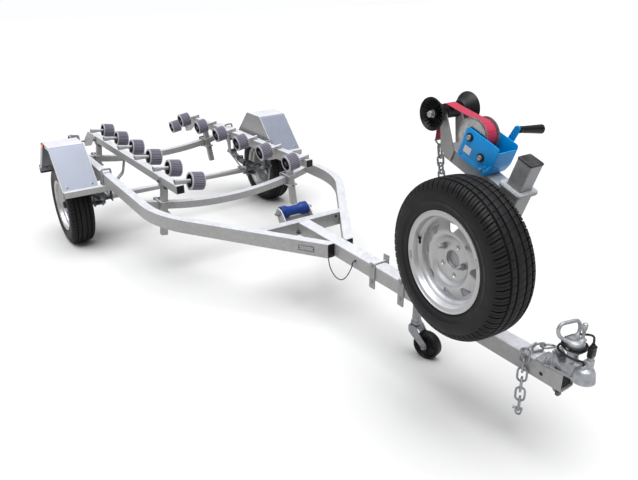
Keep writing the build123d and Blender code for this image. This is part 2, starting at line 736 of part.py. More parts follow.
# Winch: frame of two plates, drum with its gear, pinion shaft and crank
plate_y = 48.0
drum_back = 231.0
drum_up = arm_top + 92
pinion_back = 156.0
pinion_rise = 53.0               # pinion's middle above the arm
pinion_up = arm_top + pinion_rise
pinion_radius = 8.0
crank_y = 63.0                   # inner face of the crank's arm
crank_wall = 7.0
crank_length = 118.0
plate_low = arm_top
plate_high = max(drum_up, pinion_up) + 30
plate_shoulder = plate_high - 18
plate_rear = -(drum_back + 27)
plate_front = -(pinion_back - 60)
plate_knee = pinion_up - 9
with BuildPart() as winch_frame:
    for wall_y in (-plate_y, plate_y):
        with BuildSketch(post_side(wall_y + 2)):
            with BuildLine():
                Polyline(
                    (plate_rear, plate_low),
                    (plate_rear, plate_shoulder),
                    (plate_rear + 16, plate_high),
                    (plate_front - 17, plate_high),
                    (plate_front, plate_shoulder),
                    (plate_front, plate_knee),
                    (plate_front - 16, plate_low),
                    close=True,
                )
            make_face()
        extrude(amount=4)
    with BuildSketch(post_side(plate_y)):
        with BuildLine():
            Polyline(
                (plate_rear, plate_low),
                (plate_rear, plate_low + 4),
                (plate_front - 18, plate_low + 4),
                (plate_front - 3, plate_knee + 2),
                (plate_front - 3, plate_shoulder),
                (plate_front + 1, plate_shoulder),
                (plate_front + 1, plate_knee),
                (plate_front - 15, plate_low),
                close=True,
            )
        make_face()
    extrude(amount=2 * plate_y)
    for shaft_back, shaft_up, shaft_radius, left_y in (
        (drum_back, drum_up, 9.0, plate_y + 12),
        (pinion_back, pinion_up, pinion_radius, crank_y + crank_wall + 3),
    ):
        with BuildSketch(post_side(left_y)):
            with Locations((-shaft_back, shaft_up)):
                Circle(shaft_radius)
        extrude(amount=left_y + plate_y + 12)
save(winch_frame.part, "winch_frame")

drum_radius = 64.0
gear_y = -38.0
with BuildPart() as winch_drum:
    for face_y, thickness, radius in ((gear_y + 3, 6, 66.0), (-30.0, 3, drum_radius), (34.0, 3, drum_radius)):
        with BuildSketch(post_side(face_y)):
            with Locations((-drum_back, drum_up)):
                Circle(radius)
                Circle(9.5, mode=Mode.SUBTRACT)
        extrude(amount=thickness)
    with BuildSketch(post_side(34)):
        with Locations((-drum_back, drum_up)):
            Circle(22)
            Circle(9.5, mode=Mode.SUBTRACT)
    extrude(amount=72)
save(winch_drum.part, "winch_drum")

# Webbing strap: wound on the drum, over the bow roller and down to its hook
strap_width = 50.0
strap_thickness = 3.0
wound_radius = 56.0
strap_low_up = 612.0
with BuildPart() as winch_strap:
    with BuildSketch(post_side(strap_width / 2)):
        with Locations((-drum_back, drum_up)):
            Circle(wound_radius)
            Circle(22.5, mode=Mode.SUBTRACT)
    extrude(amount=strap_width)
    reach_back = bow_back - drum_back
    reach_up = bow_up - drum_up
    span = hypot(reach_back, reach_up)
    rise_angle = atan2(reach_up, reach_back)
    spool_radius = bow_spool[1] + 0.6
    drop_angle = atan2(wound_radius - strap_thickness - spool_radius, span)

    def around(back, up, radius, angle):
        return (-back - radius * cos(angle), up + radius * sin(angle))

    start_angle = radians(90) + rise_angle - drop_angle
    start = around(drum_back, drum_up, wound_radius - strap_thickness / 2, radians(180) - start_angle)
    top_angle = radians(180) - start_angle
    top = around(bow_back, bow_up, spool_radius + strap_thickness / 2, top_angle)
    middle = around(bow_back, bow_up, spool_radius + strap_thickness / 2, top_angle / 2 - radians(9))
    rear = around(bow_back, bow_up, spool_radius + strap_thickness / 2, radians(-18))
    hang = (rear[0] + 26, strap_low_up + 20)
    with BuildSketch(post_side(strap_width / 2)):
        with BuildLine():
            Line(start, top)
            ThreePointArc(top, middle, rear)
            Line(rear, hang)
        trace(line_width=strap_thickness)
    extrude(amount=strap_width)
save(winch_strap.part, "winch_strap")

# Hook on the strap's end, shackled to a short chain
with BuildPart() as strap_hook:
    hook_x = hang[0] - 2
    with BuildSketch(post_side(6)):
        with Locations((hook_x + 2, hang[1] - 22)):
            Circle(22)
            Circle(13, mode=Mode.SUBTRACT)
        with Locations((hook_x + 4, hang[1] - 62)):
            Ellipse(15, 24)
            Ellipse(8, 17, mode=Mode.SUBTRACT)
    extrude(amount=12)
save(strap_hook.part, "strap_hook")

# Crank: cranked flat arm on the pinion shaft, turning grip at its end
with BuildPart() as winch_crank:
    with BuildSketch(post_side(crank_y + crank_wall)):
        with BuildLine():
            Polyline(
                (-pinion_back - 14, pinion_up - 12),
                (-pinion_back + 14, pinion_up - 12),
                (-pinion_back + 22, pinion_up + crank_length),
                (-pinion_back - 2, pinion_up + crank_length),
                close=True,
            )
        make_face()
        with Locations((-pinion_back, pinion_up)):
            Circle(pinion_radius + 0.1, mode=Mode.SUBTRACT)
    extrude(amount=crank_wall)
save(winch_crank.part, "winch_crank")

grip_forward = 18.574            # grip's middle from the pinion's, across the post
grip_inset = 11.585              # and below the arm's end
grip_foot = post_frame.from_local_coords(
    Vector(grip_forward - pinion_back, crank_y + crank_wall - 10, pinion_up + crank_length - grip_inset))
grip_way = Vector(16, 103, -9)
grip_length = 118.0
with BuildPart() as crank_grip:
    with BuildSketch(Plane(origin=grip_foot, z_dir=grip_way)):
        Circle(11)
    extrude(amount=grip_length, taper=-1.2)
    with Locations((grip_foot.X, crank_y + crank_wall - 20, grip_foot.Z)):
        Box(60, 40, 60, mode=Mode.SUBTRACT)
save(crank_grip.part, "crank_grip")

# Carrier for the spare wheel: arm from the sleeve, plate and two studs
carrier_wall = 8.0
yaw = radians(spare_yaw)
spare_face = Plane(
    origin=(spare_x, spare_y, spare_z),
    x_dir=(cos(yaw), sin(yaw), 0),
    z_dir=(sin(yaw), -cos(yaw), 0),
)
with BuildPart() as spare_carrier:
    with BuildSketch(spare_face.offset(disc_offset - carrier_wall)):
        Circle(72)
        Circle(30, mode=Mode.SUBTRACT)
    extrude(amount=carrier_wall)
    for hole in (0, 2):
        stud_angle = radians(180 - stud_start - 72 * hole)
        with BuildSketch(spare_face.offset(disc_offset - carrier_wall)):
            with Locations((stud_circle / 2 * cos(stud_angle), stud_circle / 2 * sin(stud_angle))):
                Circle(6)
        extrude(amount=44)
    with BuildSketch(spare_face.offset(disc_offset - carrier_wall - 6)):
        with Locations((-20, 0)):
            Rectangle(120, 60)
    extrude(amount=6)
    arm_inner_y = -sleeve_tube / 2
    with BuildSketch(Plane.XZ.offset(-arm_inner_y)):
        with Locations((spare_x - 36, spare_z)):
            Rectangle(60, 50)
    extrude(amount=arm_inner_y - spare_y + disc_offset - carrier_wall - 4)
save(spare_carrier.part, "spare_carrier")

# ---- Coupling ----

socket_radius = 25.4
lip_z = -10.0
neck_x = -52.0
cap_low = 84.0
cap_high = 129.0
cap_radius = 34.3
plate_thickness = 6.0
with BuildPart() as coupling_body:
    # dome with its flared lip
    with BuildSketch(Plane.XZ):
        with BuildLine():
            dome_arc = CenterArc((0, 0), 38, 8, 82)
            flare = Polyline(dome_arc @ 0, (46, -4), (46, lip_z), (0, lip_z))
            Line(flare @ 1, dome_arc @ 1)
        make_face()
    revolve(axis=Axis.Z)
    # tongue on the drawbar's top, and the spine from the dome back to its rear wall
    with BuildSketch(Plane.XY.offset(frame_top + 0.2)):
        with BuildLine():
            Polyline((-168, -38), (-60, -38), (-10, -34), (-10, 34), (-60, 38), (-168, 38), close=True)
        make_face()
    extrude(amount=plate_thickness)
    with BuildSketch(Plane.XZ.offset(-27)):
        with BuildLine():
            Polyline(
                (8, 20),
                (-14, 40),
                (-40, 44),
                (-112, 30),
                (-112, frame_top + 0.2),
                (0, frame_top + 0.2),
                close=True,
            )
        make_face()
    extrude(amount=54)
    with Locations((-108, 0, 32)):
        Box(8, 62, 66)
    with BuildSketch(Plane.XY.offset(frame_top + 20)):
        with Locations((neck_x, 0)):
            Circle(20)
    extrude(amount=cap_low - frame_top - 20)
    # gland the plug's cable leaves by
    with BuildSketch(Plane.XY.offset(20)):
        with Locations((-6, -15)):
            Circle(7)
    extrude(amount=26)
    Sphere(socket_radius, mode=Mode.SUBTRACT)
    with BuildSketch(Plane.XY.offset(lip_z - 1)):
        Circle(socket_radius)
    extrude(amount=1 - lip_z, mode=Mode.SUBTRACT)
    # bolts through the drawbar: heads above, nuts below
    for bolt_y in (-20, 20):
        with BuildSketch(Plane.XY.offset(frame_top + plate_thickness)):
            with Locations((-80, bolt_y)):
                Circle(11)
        extrude(amount=5)
save(coupling_body.part, "coupling_body")

# Lever: cap on the neck, loop handle behind it and release stalk in front
handle_x = -76.0
handle_rod = 5.6
handle_points = (
    (handle_x + 4, -26, cap_high - 6),
    (handle_x - 6, -43, 154),
    (handle_x - 8, -24, 183),
    (handle_x - 8, 24, 183),
    (handle_x - 6, 43, 154),
    (handle_x + 4, 26, cap_high - 6),
)
with BuildPart() as coupling_lever:
    with BuildSketch(Plane.XY.offset(cap_low)):
        with Locations((neck_x, 0)):
            Circle(cap_radius)
    extrude(amount=cap_high - cap_low)
    with BuildLine() as handle_line:
        FilletPolyline(*handle_points, radius=14)
    with BuildSketch(Plane(origin=handle_line.line @ 0, z_dir=handle_line.line % 0)):
        Circle(handle_rod)
    sweep()
    with BuildSketch(Plane.XY.offset(cap_high - 1)):
        with Locations((-38, 18)):
            Circle(6)
    extrude(amount=50)
    with Locations((-38, 18, 181)):
        Sphere(10)
save(coupling_lever.part, "coupling_lever")


# Radius of each of a cord's bends: 0.45 of the shorter run over tan(half turn)
def cord_radii(points):
    radii = []
    for before, at, after in zip(points[:-2], points[1:-1], points[2:]):
        first = Vector(at) - Vector(before)
        second = Vector(after) - Vector(at)
        half_turn = radians(first.get_angle(second)) / 2
        radii.append(round(min(0.45 * min(first.length, second.length) / tan(half_turn), cord_bend), 2))
    return radii


def cord_tube(points, radius):
    with BuildPart() as tube:
        with BuildLine() as route:
            FilletPolyline(*points, radius=cord_radii(points))
        with BuildSketch(Plane(origin=route.line @ 0, z_dir=route.line % 0)):
            Circle(radius)
        sweep()
    return tube.part


# Plug cable: from its gland a little over two turns round the neck's cap and over to the plug
cord_bend = 60.0
cable_radius = 4.0
coil_half = 38.6
coil_pitch = 8.7
coil_low = 95.5
coil_corners = 9
cable_points = [(-6, -15, 46), (-6, -15, 68), (-14, -48, 80), (-52, -54, 86), (-98, -40, 90)]
for corner in range(coil_corners):
    way_x, way_y = ((-1, 1), (1, 1), (1, -1), (-1, -1))[corner % 4]
    cable_points.append((neck_x + way_x * coil_half, way_y * coil_half, coil_low + corner * coil_pitch / 4))
plug_x = 14.0
plug_y = 6.0
plug_low = 76.0
plug_high = 127.0
cable_points += [(-34, 47, 137), (-2, 30, 150), (plug_x, plug_y, plug_high + 20), (plug_x, plug_y, plug_high)]
print("plug cable radii", cord_radii(cable_points))
save(cord_tube(cable_points, cable_radius), "plug_cable")

with BuildPart() as trailer_plug:
    with BuildSketch(Plane.XY.offset(plug_low)):
        with Locations((plug_x, plug_y)):
            RectangleRounded(18, 30, 5)
    extrude(amount=plug_high - plug_low - 10)
    with BuildSketch(Plane.XY.offset(plug_high - 10)):
        with Locations((plug_x, plug_y)):
            RectangleRounded(14, 20, 5)
    extrude(amount=10)
    with BuildSketch(Plane.XY.offset(plug_low - 20)):
        with Locations((plug_x, plug_y)):
            RectangleRounded(14, 26, 3)
    extrude(amount=20)
save(trailer_plug.part, "trailer_plug")

# ---- Jockey wheel, on the drawbar's left side ----

jockey_x = -890.0
sleeve_low_end = -150.0
sleeve_top = 270.0
jockey_y = 76.0
jockey_radius = 66.0
jockey_width = 48.0
jockey_trail = 67.0
jockey_heading = 15.0            # degrees from straight ahead to the left
stem_radius = 21.0
sleeve_radius = 25.5
heading = radians(jockey_heading)
park = radians(park_angle)
floor_z = -axle_x * sin(park) + axle_z * cos(park) - tyre_radius
wheel_x = jockey_x + jockey_trail * cos(heading)
wheel_y = jockey_y + jockey_trail * sin(heading)
axle_tip = sin(heading) * sin(park)
jockey_reach = jockey_radius * (1 - axle_tip ** 2) ** 0.5 + (jockey_width / 2 - 6) * axle_tip
wheel_z = (floor_z + jockey_reach + wheel_x * sin(park)) / cos(park)
fork_plane = Plane(origin=(jockey_x, jockey_y, wheel_z), x_dir=(cos(heading), sin(heading), 0),
                   z_dir=(sin(heading), -cos(heading), 0))

with BuildPart() as jockey_bracket:
    # outer tube, its clamp and the plate on the drawbar's side
    with BuildSketch(Plane.XY.offset(sleeve_low_end)):
        with Locations((jockey_x, jockey_y)):
            Circle(sleeve_radius)
            Circle(stem_radius + 0.5, mode=Mode.SUBTRACT)
    extrude(amount=sleeve_top - sleeve_low_end)
    with BuildSketch(Plane.XY.offset(-64)):
        with Locations((jockey_x, jockey_y - 8)):
            RectangleRounded(70, 56, 10)
        with Locations((jockey_x, jockey_y)):
            Circle(stem_radius + 0.5, mode=Mode.SUBTRACT)
    extrude(amount=44)
    with Locations((jockey_x, drawbar_size / 2 + 4, frame_top - drawbar_size / 2)):
        Box(96, 8, 100)
save(jockey_bracket.part, "jockey_bracket")
print(f"floor at {floor_z:.2f}, jockey wheel middle {wheel_x:.2f} {wheel_y:.2f} {wheel_z:.2f}")

fork_top = wheel_z + jockey_radius + 14
with BuildPart() as jockey_stem:
    with BuildSketch(Plane.XY.offset(fork_top + 6.5)):
        with Locations((jockey_x, jockey_y)):
            Circle(stem_radius)
    extrude(amount=130 - fork_top - 6.5)
save(jockey_stem.part, "jockey_stem")

# Winding crank on the outer tube's cap
with BuildPart() as jockey_crank:
    with BuildSketch(Plane.XY.offset(sleeve_top)):
        with Locations((jockey_x, jockey_y)):
            Circle(29)
    extrude(amount=16)
    with Locations((jockey_x - 45, jockey_y, sleeve_top + 21)):
        Box(120, 22, 10)
    with Locations((jockey_x - 92, jockey_y, sleeve_top + 66)):
        Cylinder(12, 80)
save(jockey_crank.part, "jockey_crank")

with BuildPart() as jockey_fork:
    with BuildSketch(Plane.XY.offset(fork_top - 6)):
        with Locations((jockey_x, jockey_y)):
            Circle(30)
    extrude(amount=12)
    for wall in (-(jockey_width / 2 + 8), jockey_width / 2 + 4):
        with BuildSketch(fork_plane.offset(wall)):
            with BuildLine():
                Polyline(
                    (-26, jockey_radius + 20),
                    (22, jockey_radius + 20),
                    (28, jockey_radius - 10),
                    (jockey_trail + 12, 10),
                    (jockey_trail + 10, -10),
                    (jockey_trail - 12, -13),
                    (10, 16),
                    (-22, jockey_radius - 14),
                    close=True,
                )
            make_face()
        extrude(amount=4)
    with BuildSketch(fork_plane.offset(-(jockey_width / 2 + 8))):
        with Locations((0, jockey_radius + 17)):
            Rectangle(52, 6)
        with Locations((jockey_trail, 0)):
            Circle(7)
    extrude(amount=jockey_width + 16)
save(jockey_fork.part, "jockey_fork")

with BuildPart() as jockey_wheel:
    with BuildSketch(fork_plane.offset(-jockey_width / 2)):
        with Locations((jockey_trail, 0)):
            Circle(jockey_radius)
    extrude(amount=jockey_width)
    chamfer(jockey_wheel.edges().filter_by(GeomType.CIRCLE), 6)
    with BuildSketch(fork_plane.offset(-jockey_width / 2)):
        with Locations((jockey_trail, 0)):
            Circle(7.5)
    extrude(amount=jockey_width, mode=Mode.SUBTRACT)
save(jockey_wheel.part, "jockey_wheel")

# ---- Fittings ----

# Brackets clamped round the drawbar: side plates tied by rods above and below
# the rear pair stands alone, the front one is tied to the jockey wheel's plate
drawbar_half = drawbar_size / 2
rod_radius = 5.0
clamp_wall = 7.0
clamp_plates = (
    # x, y of the plate's inner face, bottom, top
    (-1083.0, -(drawbar_half + 0.2 + clamp_wall), -122.0, 8.0),
    (-1083.0, drawbar_half + 0.2, -96.0, 32.0),
    (-880.0, -(drawbar_half + 0.2 + clamp_wall), -122.0, 8.0),
)
clamp_rods = (
    # x, y of the left end
    (-1083.0, drawbar_half + 16),
    (-880.0, drawbar_half - 0.2),
)
with BuildPart() as drawbar_clamps:
    for clamp_x, inner_y, low_z, high_z in clamp_plates:
        with Locations((clamp_x, inner_y + clamp_wall / 2, (low_z + high_z) / 2)):
            Box(36, clamp_wall, high_z - low_z)
    for clamp_x, left_y in clamp_rods:
        for rod_z in (frame_top + rod_radius + 0.2, frame_top - drawbar_size - rod_radius - 0.2):
            with BuildSketch(Plane.XZ.offset(-left_y)):
                with Locations((clamp_x, rod_z)):
                    Circle(rod_radius)
            extrude(amount=left_y + drawbar_half + 16)
save(drawbar_clamps.part, "drawbar_clamps")

# Wiring loop below the left of the right rail's tip, from its end cap to the drawbar's side
wire_radius = 2.6
rail_bottom = frame_top - rail_height
wire_points = (
    (-1416, -60, rail_bottom - 0.2),
    (-1416, -60, -104),
    (-1400, -59, -146),
    (-1362, -57, -176),
    (-1314, -55, -178),
    (-1274, -54, -146),
    (-1242, -54, -98),
    (-1224, -54, -60),
    (-1221, -54, -36),
    (-1221, -drawbar_half - 0.2, -36),
)
print("wire radii", cord_radii(wire_points))
save(cord_tube(wire_points, wire_radius), "drawbar_wire")

# Tail lamps under the guards' rear edges and side markers on their outer lips
with BuildPart() as lamps:
    for sign in (-1, 1):
        with Locations((axle_x - guard_rear - 50.2, sign * (guard_outer_y - 72), guard_low_z - 24)):
            Box(36, 140, 62)
        with Locations((axle_x - 50, sign * (guard_outer_y + 6), guard_top_z - 12)):
            Box(66, 12, 20)
save(lamps.part, "lamps")

# Safety chain: from its bolt on the drawbar, across the top and down the near side
link_radius = 9.0
chain_points = (
    (-112, -37, 17),
    (-150, -36, 19),
    (-186, -38, 15),
    (-206, -48, -2),
    (-208, -50, -40),
    (-204, -50, -110),
    (-198, -50, -190),
    (-192, -50, -262),
)
with BuildPart() as safety_chain:
    for start, end in zip(chain_points[:-1], chain_points[1:]):
        way = Vector(end) - Vector(start)
        with BuildSketch(Plane(origin=start, z_dir=way)):
            Circle(link_radius)
        extrude(amount=way.length)
        with Locations(end):
            Sphere(link_radius)
save(safety_chain.part, "safety_chain")
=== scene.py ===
import bmesh
import bpy
import math
from mathutils import Matrix, Vector


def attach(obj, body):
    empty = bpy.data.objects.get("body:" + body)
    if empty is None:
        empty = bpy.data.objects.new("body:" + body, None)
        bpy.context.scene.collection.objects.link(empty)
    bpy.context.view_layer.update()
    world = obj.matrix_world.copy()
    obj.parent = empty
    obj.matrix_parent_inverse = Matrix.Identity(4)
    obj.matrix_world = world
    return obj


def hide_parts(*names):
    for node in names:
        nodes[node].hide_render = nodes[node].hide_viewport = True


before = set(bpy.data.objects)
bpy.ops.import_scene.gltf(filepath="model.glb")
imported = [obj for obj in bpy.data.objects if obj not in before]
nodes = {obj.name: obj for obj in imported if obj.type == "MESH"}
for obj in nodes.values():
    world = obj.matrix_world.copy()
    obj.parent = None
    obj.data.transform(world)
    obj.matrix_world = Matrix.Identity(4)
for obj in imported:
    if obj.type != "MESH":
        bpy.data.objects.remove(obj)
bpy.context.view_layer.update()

# The trailer is drawn level, in millimetres from the ball socket, and stands nose-down by 3.5 degrees
parked = Matrix.Rotation(math.radians(3.5), 4, "Y")
level = parked @ Matrix.Scale(0.001, 4)


def moved(x, y, z):
    return Matrix.Translation((x, y, z))


def at(x, y, z, turn=Matrix()):
    return level @ moved(x, y, z) @ turn


def rotated(degrees, axis):
    return Matrix.Rotation(math.radians(degrees), 4, axis)


sides = (("left", 1), ("right", -1))
alongX = rotated(90, "Y")       # turned shapes lie along Z; these lay them along X or Y
alongY = rotated(-90, "X")
towardsRight = rotated(90, "X")


class Link:
    def __init__(self, surface, out):
        self.surface = surface
        self.out = out

    def math(self, operation, first, second):
        return self.surface.add("ShaderNodeMath", {"operation": operation}, {0: first, 1: second})

    def __add__(self, other):
        return self.math("ADD", self, other)

    def __mul__(self, other):
        return self.math("MULTIPLY", self, other)

    __radd__ = __add__
    __rmul__ = __mul__


class Surface:
    def __init__(self, name, **fixed):
        self.material = bpy.data.materials.new(name)
        self.material.use_nodes = True
        self.tree = self.material.node_tree
        self.shader = self.tree.nodes["Principled BSDF"]
        self.feed(**fixed)
        self.where = self.add("ShaderNodeTexCoord", {}, {}, "Object")

    def add(self, kind, settings, sockets, output=0):
        node = self.tree.nodes.new(kind)
        for key, value in settings.items():
            setattr(node, key, value)
        for key, value in sockets.items():
            self.fill(node.inputs[key], value)
        return Link(self, node.outputs[output])

    def fill(self, socket, value):
        if isinstance(value, Link):
            self.tree.links.new(value.out, socket)
        else:
            socket.default_value = value

    def feed(self, **sockets):
        for key, value in sockets.items():
            self.fill(self.shader.inputs[key.replace("_", " ")], value)

    def noise(self, scale, detail=3.0, rough=0.5, where=None):
        return self.add("ShaderNodeTexNoise", {}, {"Vector": where or self.where, "Scale": scale,
                                                   "Detail": detail, "Roughness": rough}, "Fac")

    def stretched(self, x, y, z):
        return self.add("ShaderNodeMapping", {}, {"Vector": self.where, "Scale": (x, y, z)})

    def cells(self, scale):
        return self.add("ShaderNodeTexVoronoi", {}, {"Vector": self.where, "Scale": scale}, "Color")

    def range(self, value, low, high, newLow=0.0, newHigh=1.0):
        return self.add("ShaderNodeMapRange", {}, {0: value, 1: low, 2: high, 3: newLow, 4: newHigh})

    def mix(self, factor, first, second, blend="MIX"):
        ends = [(*end, 1) if isinstance(end, tuple) else end for end in (first, second)]
        return self.add("ShaderNodeMix", {"data_type": "RGBA", "blend_type": blend},
                        {0: factor, 6: ends[0], 7: ends[1]}, 2)

    def bump(self, height, strength, distance, rounded=0.0):
        sockets = {"Height": height, "Strength": strength, "Distance": distance}
        if rounded:
            sockets["Normal"] = self.add("ShaderNodeBevel", {"samples": 4}, {"Radius": rounded})
        self.feed(Normal=self.add("ShaderNodeBump", {}, sockets))


galvanisedLook = {
    "light": (0.54, 0.545, 0.56),
    "dark": (0.42, 0.425, 0.44),
    "stain": (0.38, 0.38, 0.385),
    # side and top are painted shade and painted light, multiplied into the zinc's colour by which way a face looks
    "side": (0.66, 0.648, 0.622),
    "top": (1.24, 1.25, 1.28),
    "spangle": 70.0,             # crystals per metre
    "metallic": 0.2,
    "edge": 0.0016,              # rounding of the edges, metres
}


def galvanised(name, light=galvanisedLook["light"], dark=galvanisedLook["dark"], metallic=galvanisedLook["metallic"],
               rough=0.38, stains=0.3, edge=galvanisedLook["edge"]):
    look = Surface(name, Metallic=metallic)
    if edge:
        spangle = look.add("ShaderNodeSeparateColor", {}, {0: look.cells(galvanisedLook["spangle"])})
    else:
        spangle = look.noise(24.0, 1.0)    # crystals on a broad sheet would speckle from afar
    cloud = look.noise(7.0, 4.0)
    streak = look.noise(9.0, 5.0, 0.6, look.stretched(1.0, 1.0, 0.25))
    zinc = look.mix(spangle * 0.55 + cloud * 0.45, dark, light)
    worn = look.range(streak, 0.56, 0.72, 0.0, stains)
    # painted light and shade: faces that look up are painted brighter and bluer than the sides, which are painted
    # darker
    up = look.add("ShaderNodeSeparateXYZ", {}, {0: look.add("ShaderNodeTexCoord", {}, {}, "Normal")}, "Z")
    shade = look.mix(look.range(up, 0.3, 0.9), galvanisedLook["side"], galvanisedLook["top"])
    look.feed(Base_Color=look.mix(1.0, look.mix(worn, zinc, galvanisedLook["stain"]), shade, "MULTIPLY"))
    look.feed(Roughness=look.range(spangle * 0.5 + cloud * 0.5, 0.2, 0.8, rough - 0.08, rough + 0.12))
    if edge:
        look.bump(look.noise(420.0, 2.0) * 0.3 + cloud * 0.7, 0.18, 0.002, edge)
    else:
        look.bump(cloud, 0.05, 0.002)    # thin sheets: fine relief would speckle from afar
    return look.material


def rubber(name, colour, dust, rough=0.62, grain=260.0, dusty=0.35, edge=0.0008):
    look = Surface(name, Specular_IOR_Level=0.22)
    patches = look.noise(22.0, 5.0, 0.6)
    fine = look.noise(grain, 3.0)
    look.feed(Base_Color=look.mix(look.range(patches, 0.45, 0.75, 0.0, dusty), colour, dust))
    look.feed(Roughness=look.range(patches, 0.3, 0.7, rough - 0.08, rough + 0.14))
    look.bump(fine, 0.22, 0.0008, edge)
    return look.material


def enamel(name, colour, shade, rough=0.32, coat=0.25, metallic=0.0):
    look = Surface(name, Metallic=metallic, Coat_Weight=coat, Coat_Roughness=0.12, Specular_IOR_Level=0.22)
    patches = look.noise(14.0, 4.0)
    look.feed(Base_Color=look.mix(look.range(patches, 0.35, 0.7), colour, shade))
    look.feed(Roughness=look.range(patches, 0.3, 0.7, rough, rough + 0.12))
    look.bump(look.noise(180.0, 2.0), 0.08, 0.0006, 0.001)
    return look.material


def metal(name, bright, dull, rough=0.25, grain=120.0, pitted=0.25, metallic=1.0, edge=0.0008):
    look = Surface(name, Metallic=metallic)
    patches = look.noise(45.0, 5.0, 0.6)
    fine = look.noise(grain, 4.0, 0.65)
    look.feed(Base_Color=look.mix(look.range(patches, 0.3, 0.75), bright, dull))
    look.feed(Roughness=look.range(patches * 0.6 + fine * 0.4, 0.3, 0.7, rough - 0.06, rough + 0.16))
    look.bump(fine, pitted, 0.0015, edge)
    return look.material


def webbing(name, colour, shade, along, across):
    # along and across are directions in which the yarns run, in the surface's own coordinates
    look = Surface(name, Sheen_Weight=0.12, Sheen_Roughness=0.5)
    rows = []
    for way, pitch in ((along, 1400.0), (across, 900.0)):
        line = look.add("ShaderNodeVectorMath", {"operation": "DOT_PRODUCT"}, {0: look.where, 1: way}, "Value")
        rows.append(look.add("ShaderNodeMath", {"operation": "SINE"}, {0: line * pitch}) * 0.5 + 0.5)
    weave = rows[0] * 0.5 + rows[1] * 0.5
    fade = look.noise(30.0, 4.0)
    look.feed(Base_Color=look.mix(look.range(weave * 0.6 + fade * 0.4, 0.25, 0.75), shade, colour))
    look.feed(Roughness=look.range(fade, 0.3, 0.7, 0.6, 0.78))
    look.bump(weave, 0.5, 0.0008)
    return look.material


print("surfaces")
looks = {
    "frame": galvanised("zincFrame"),
    "members": galvanised("zincMembers", (0.48, 0.485, 0.50), (0.36, 0.365, 0.38)),
    # painted shade: the guards' sheet is a darker, bluer copy of the zinc
    "guards": galvanised("shadedGuardZinc", (0.225, 0.245, 0.30), (0.18, 0.20, 0.25), rough=0.34, stains=0.0, edge=0.0),
    "post": galvanised("zincPost", (0.40, 0.41, 0.43), (0.27, 0.28, 0.30), stains=0.5),
    "running": galvanised("zincRunning", (0.19, 0.195, 0.21), (0.08, 0.082, 0.09), rough=0.5, stains=0.5),
    "rim": galvanised("zincRim", (0.70, 0.71, 0.73), (0.54, 0.55, 0.575),
                      metallic=0.5, rough=0.36, stains=0.0, edge=0.0),
    # painted light: a lighter copy of the zinc for the guards' tops, closed sides and hems, the keel roller's cradle
    # and the plate below it
    "plate": galvanised("paintedLightPlate", (0.62, 0.62, 0.64), (0.52, 0.52, 0.55), rough=0.3, stains=0.0, edge=0.0),
    "zinc": metal("platedSteel", (0.34, 0.345, 0.36), (0.21, 0.215, 0.23), 0.36, 200.0, 0.15, 0.6),
    "dull": metal("weatheredSteel", (0.12, 0.12, 0.13), (0.05, 0.05, 0.055), 0.42, 220.0, 0.3),
    "bolt": metal("boltSteel", (0.32, 0.33, 0.345), (0.18, 0.185, 0.20), 0.38, 300.0, 0.2, 0.6),
    "cast": metal("castZinc", (0.42, 0.43, 0.45), (0.24, 0.25, 0.27), 0.40, 110.0, 0.6, 0.6),
    "gear": metal("gearSteel", (0.44, 0.44, 0.43), (0.28, 0.28, 0.27), 0.33, 300.0, 0.15),
    "tyre": rubber("tyreRubber", (0.007, 0.007, 0.008), (0.026, 0.026, 0.028), 0.56),
    # painted shade: near-black rubber for the floors of the tread's grooves, slots and fine cuts
    "groove": rubber("grooveShadeRubber", (0.0015, 0.0015, 0.0015), (0.005, 0.005, 0.005), 0.95, dusty=0.4),
    "sidewall": rubber("sidewallRubber", (0.006, 0.006, 0.007), (0.018, 0.018, 0.02), 0.5),
    "roller": rubber("greyRubber", (0.19, 0.185, 0.235), (0.27, 0.265, 0.32), 0.66),
    # painted shade: darker grey for the floors of the roller's rib grooves
    "rollerGroove": rubber("grooveShadeGrey", (0.045, 0.042, 0.052), (0.07, 0.066, 0.08), 0.8),
    "rollerEdge": rubber("paleRubber", (0.36, 0.355, 0.39), (0.48, 0.475, 0.50), 0.6),
    # painted shade: near-black rubber for the hollow of the roller's ends
    "rollerInside": rubber("recessShadeRubber", (0.012, 0.011, 0.013), (0.03, 0.03, 0.032), 0.75),
    "keel": rubber("blueRubber", (0.006, 0.03, 0.17), (0.014, 0.05, 0.23), 0.42, dusty=0.5),
    "black": rubber("blackRubber", (0.006, 0.006, 0.007), (0.02, 0.02, 0.022), 0.4),
    "moulded": rubber("mouldedPlastic", (0.006, 0.006, 0.007), (0.016, 0.016, 0.018), 0.24, 340.0, 0.2),
    "cable": rubber("cableSheath", (0.010, 0.010, 0.011), (0.03, 0.03, 0.03), 0.36, 500.0, 0.3),
    "blue": enamel("bluePaint", (0.0, 0.26, 0.64), (0.0, 0.215, 0.56), 0.3, 0.06),
    "strapStitch": enamel("stitchThread", (0.45, 0.02, 0.07), (0.38, 0.02, 0.06), 0.7, 0.0),
    "cap": rubber("weatheredCap", (0.022, 0.022, 0.025), (0.09, 0.09, 0.097), 0.6, 180.0, 0.8),
    "strap": webbing("crimsonWebbing", (0.46, 0.010, 0.055), (0.27, 0.004, 0.03), (0.8, 0.0, 0.6), (0.0, 1.0, 0.0)),
    "label": enamel("blankLabel", (0.62, 0.62, 0.64), (0.54, 0.55, 0.57), 0.35, 0.2),
    "amber": enamel("amberLens", (0.80, 0.20, 0.02), (0.60, 0.10, 0.01), 0.2, 0.8),
    "red": enamel("redLens", (0.50, 0.015, 0.012), (0.36, 0.01, 0.01), 0.2, 0.8),
}


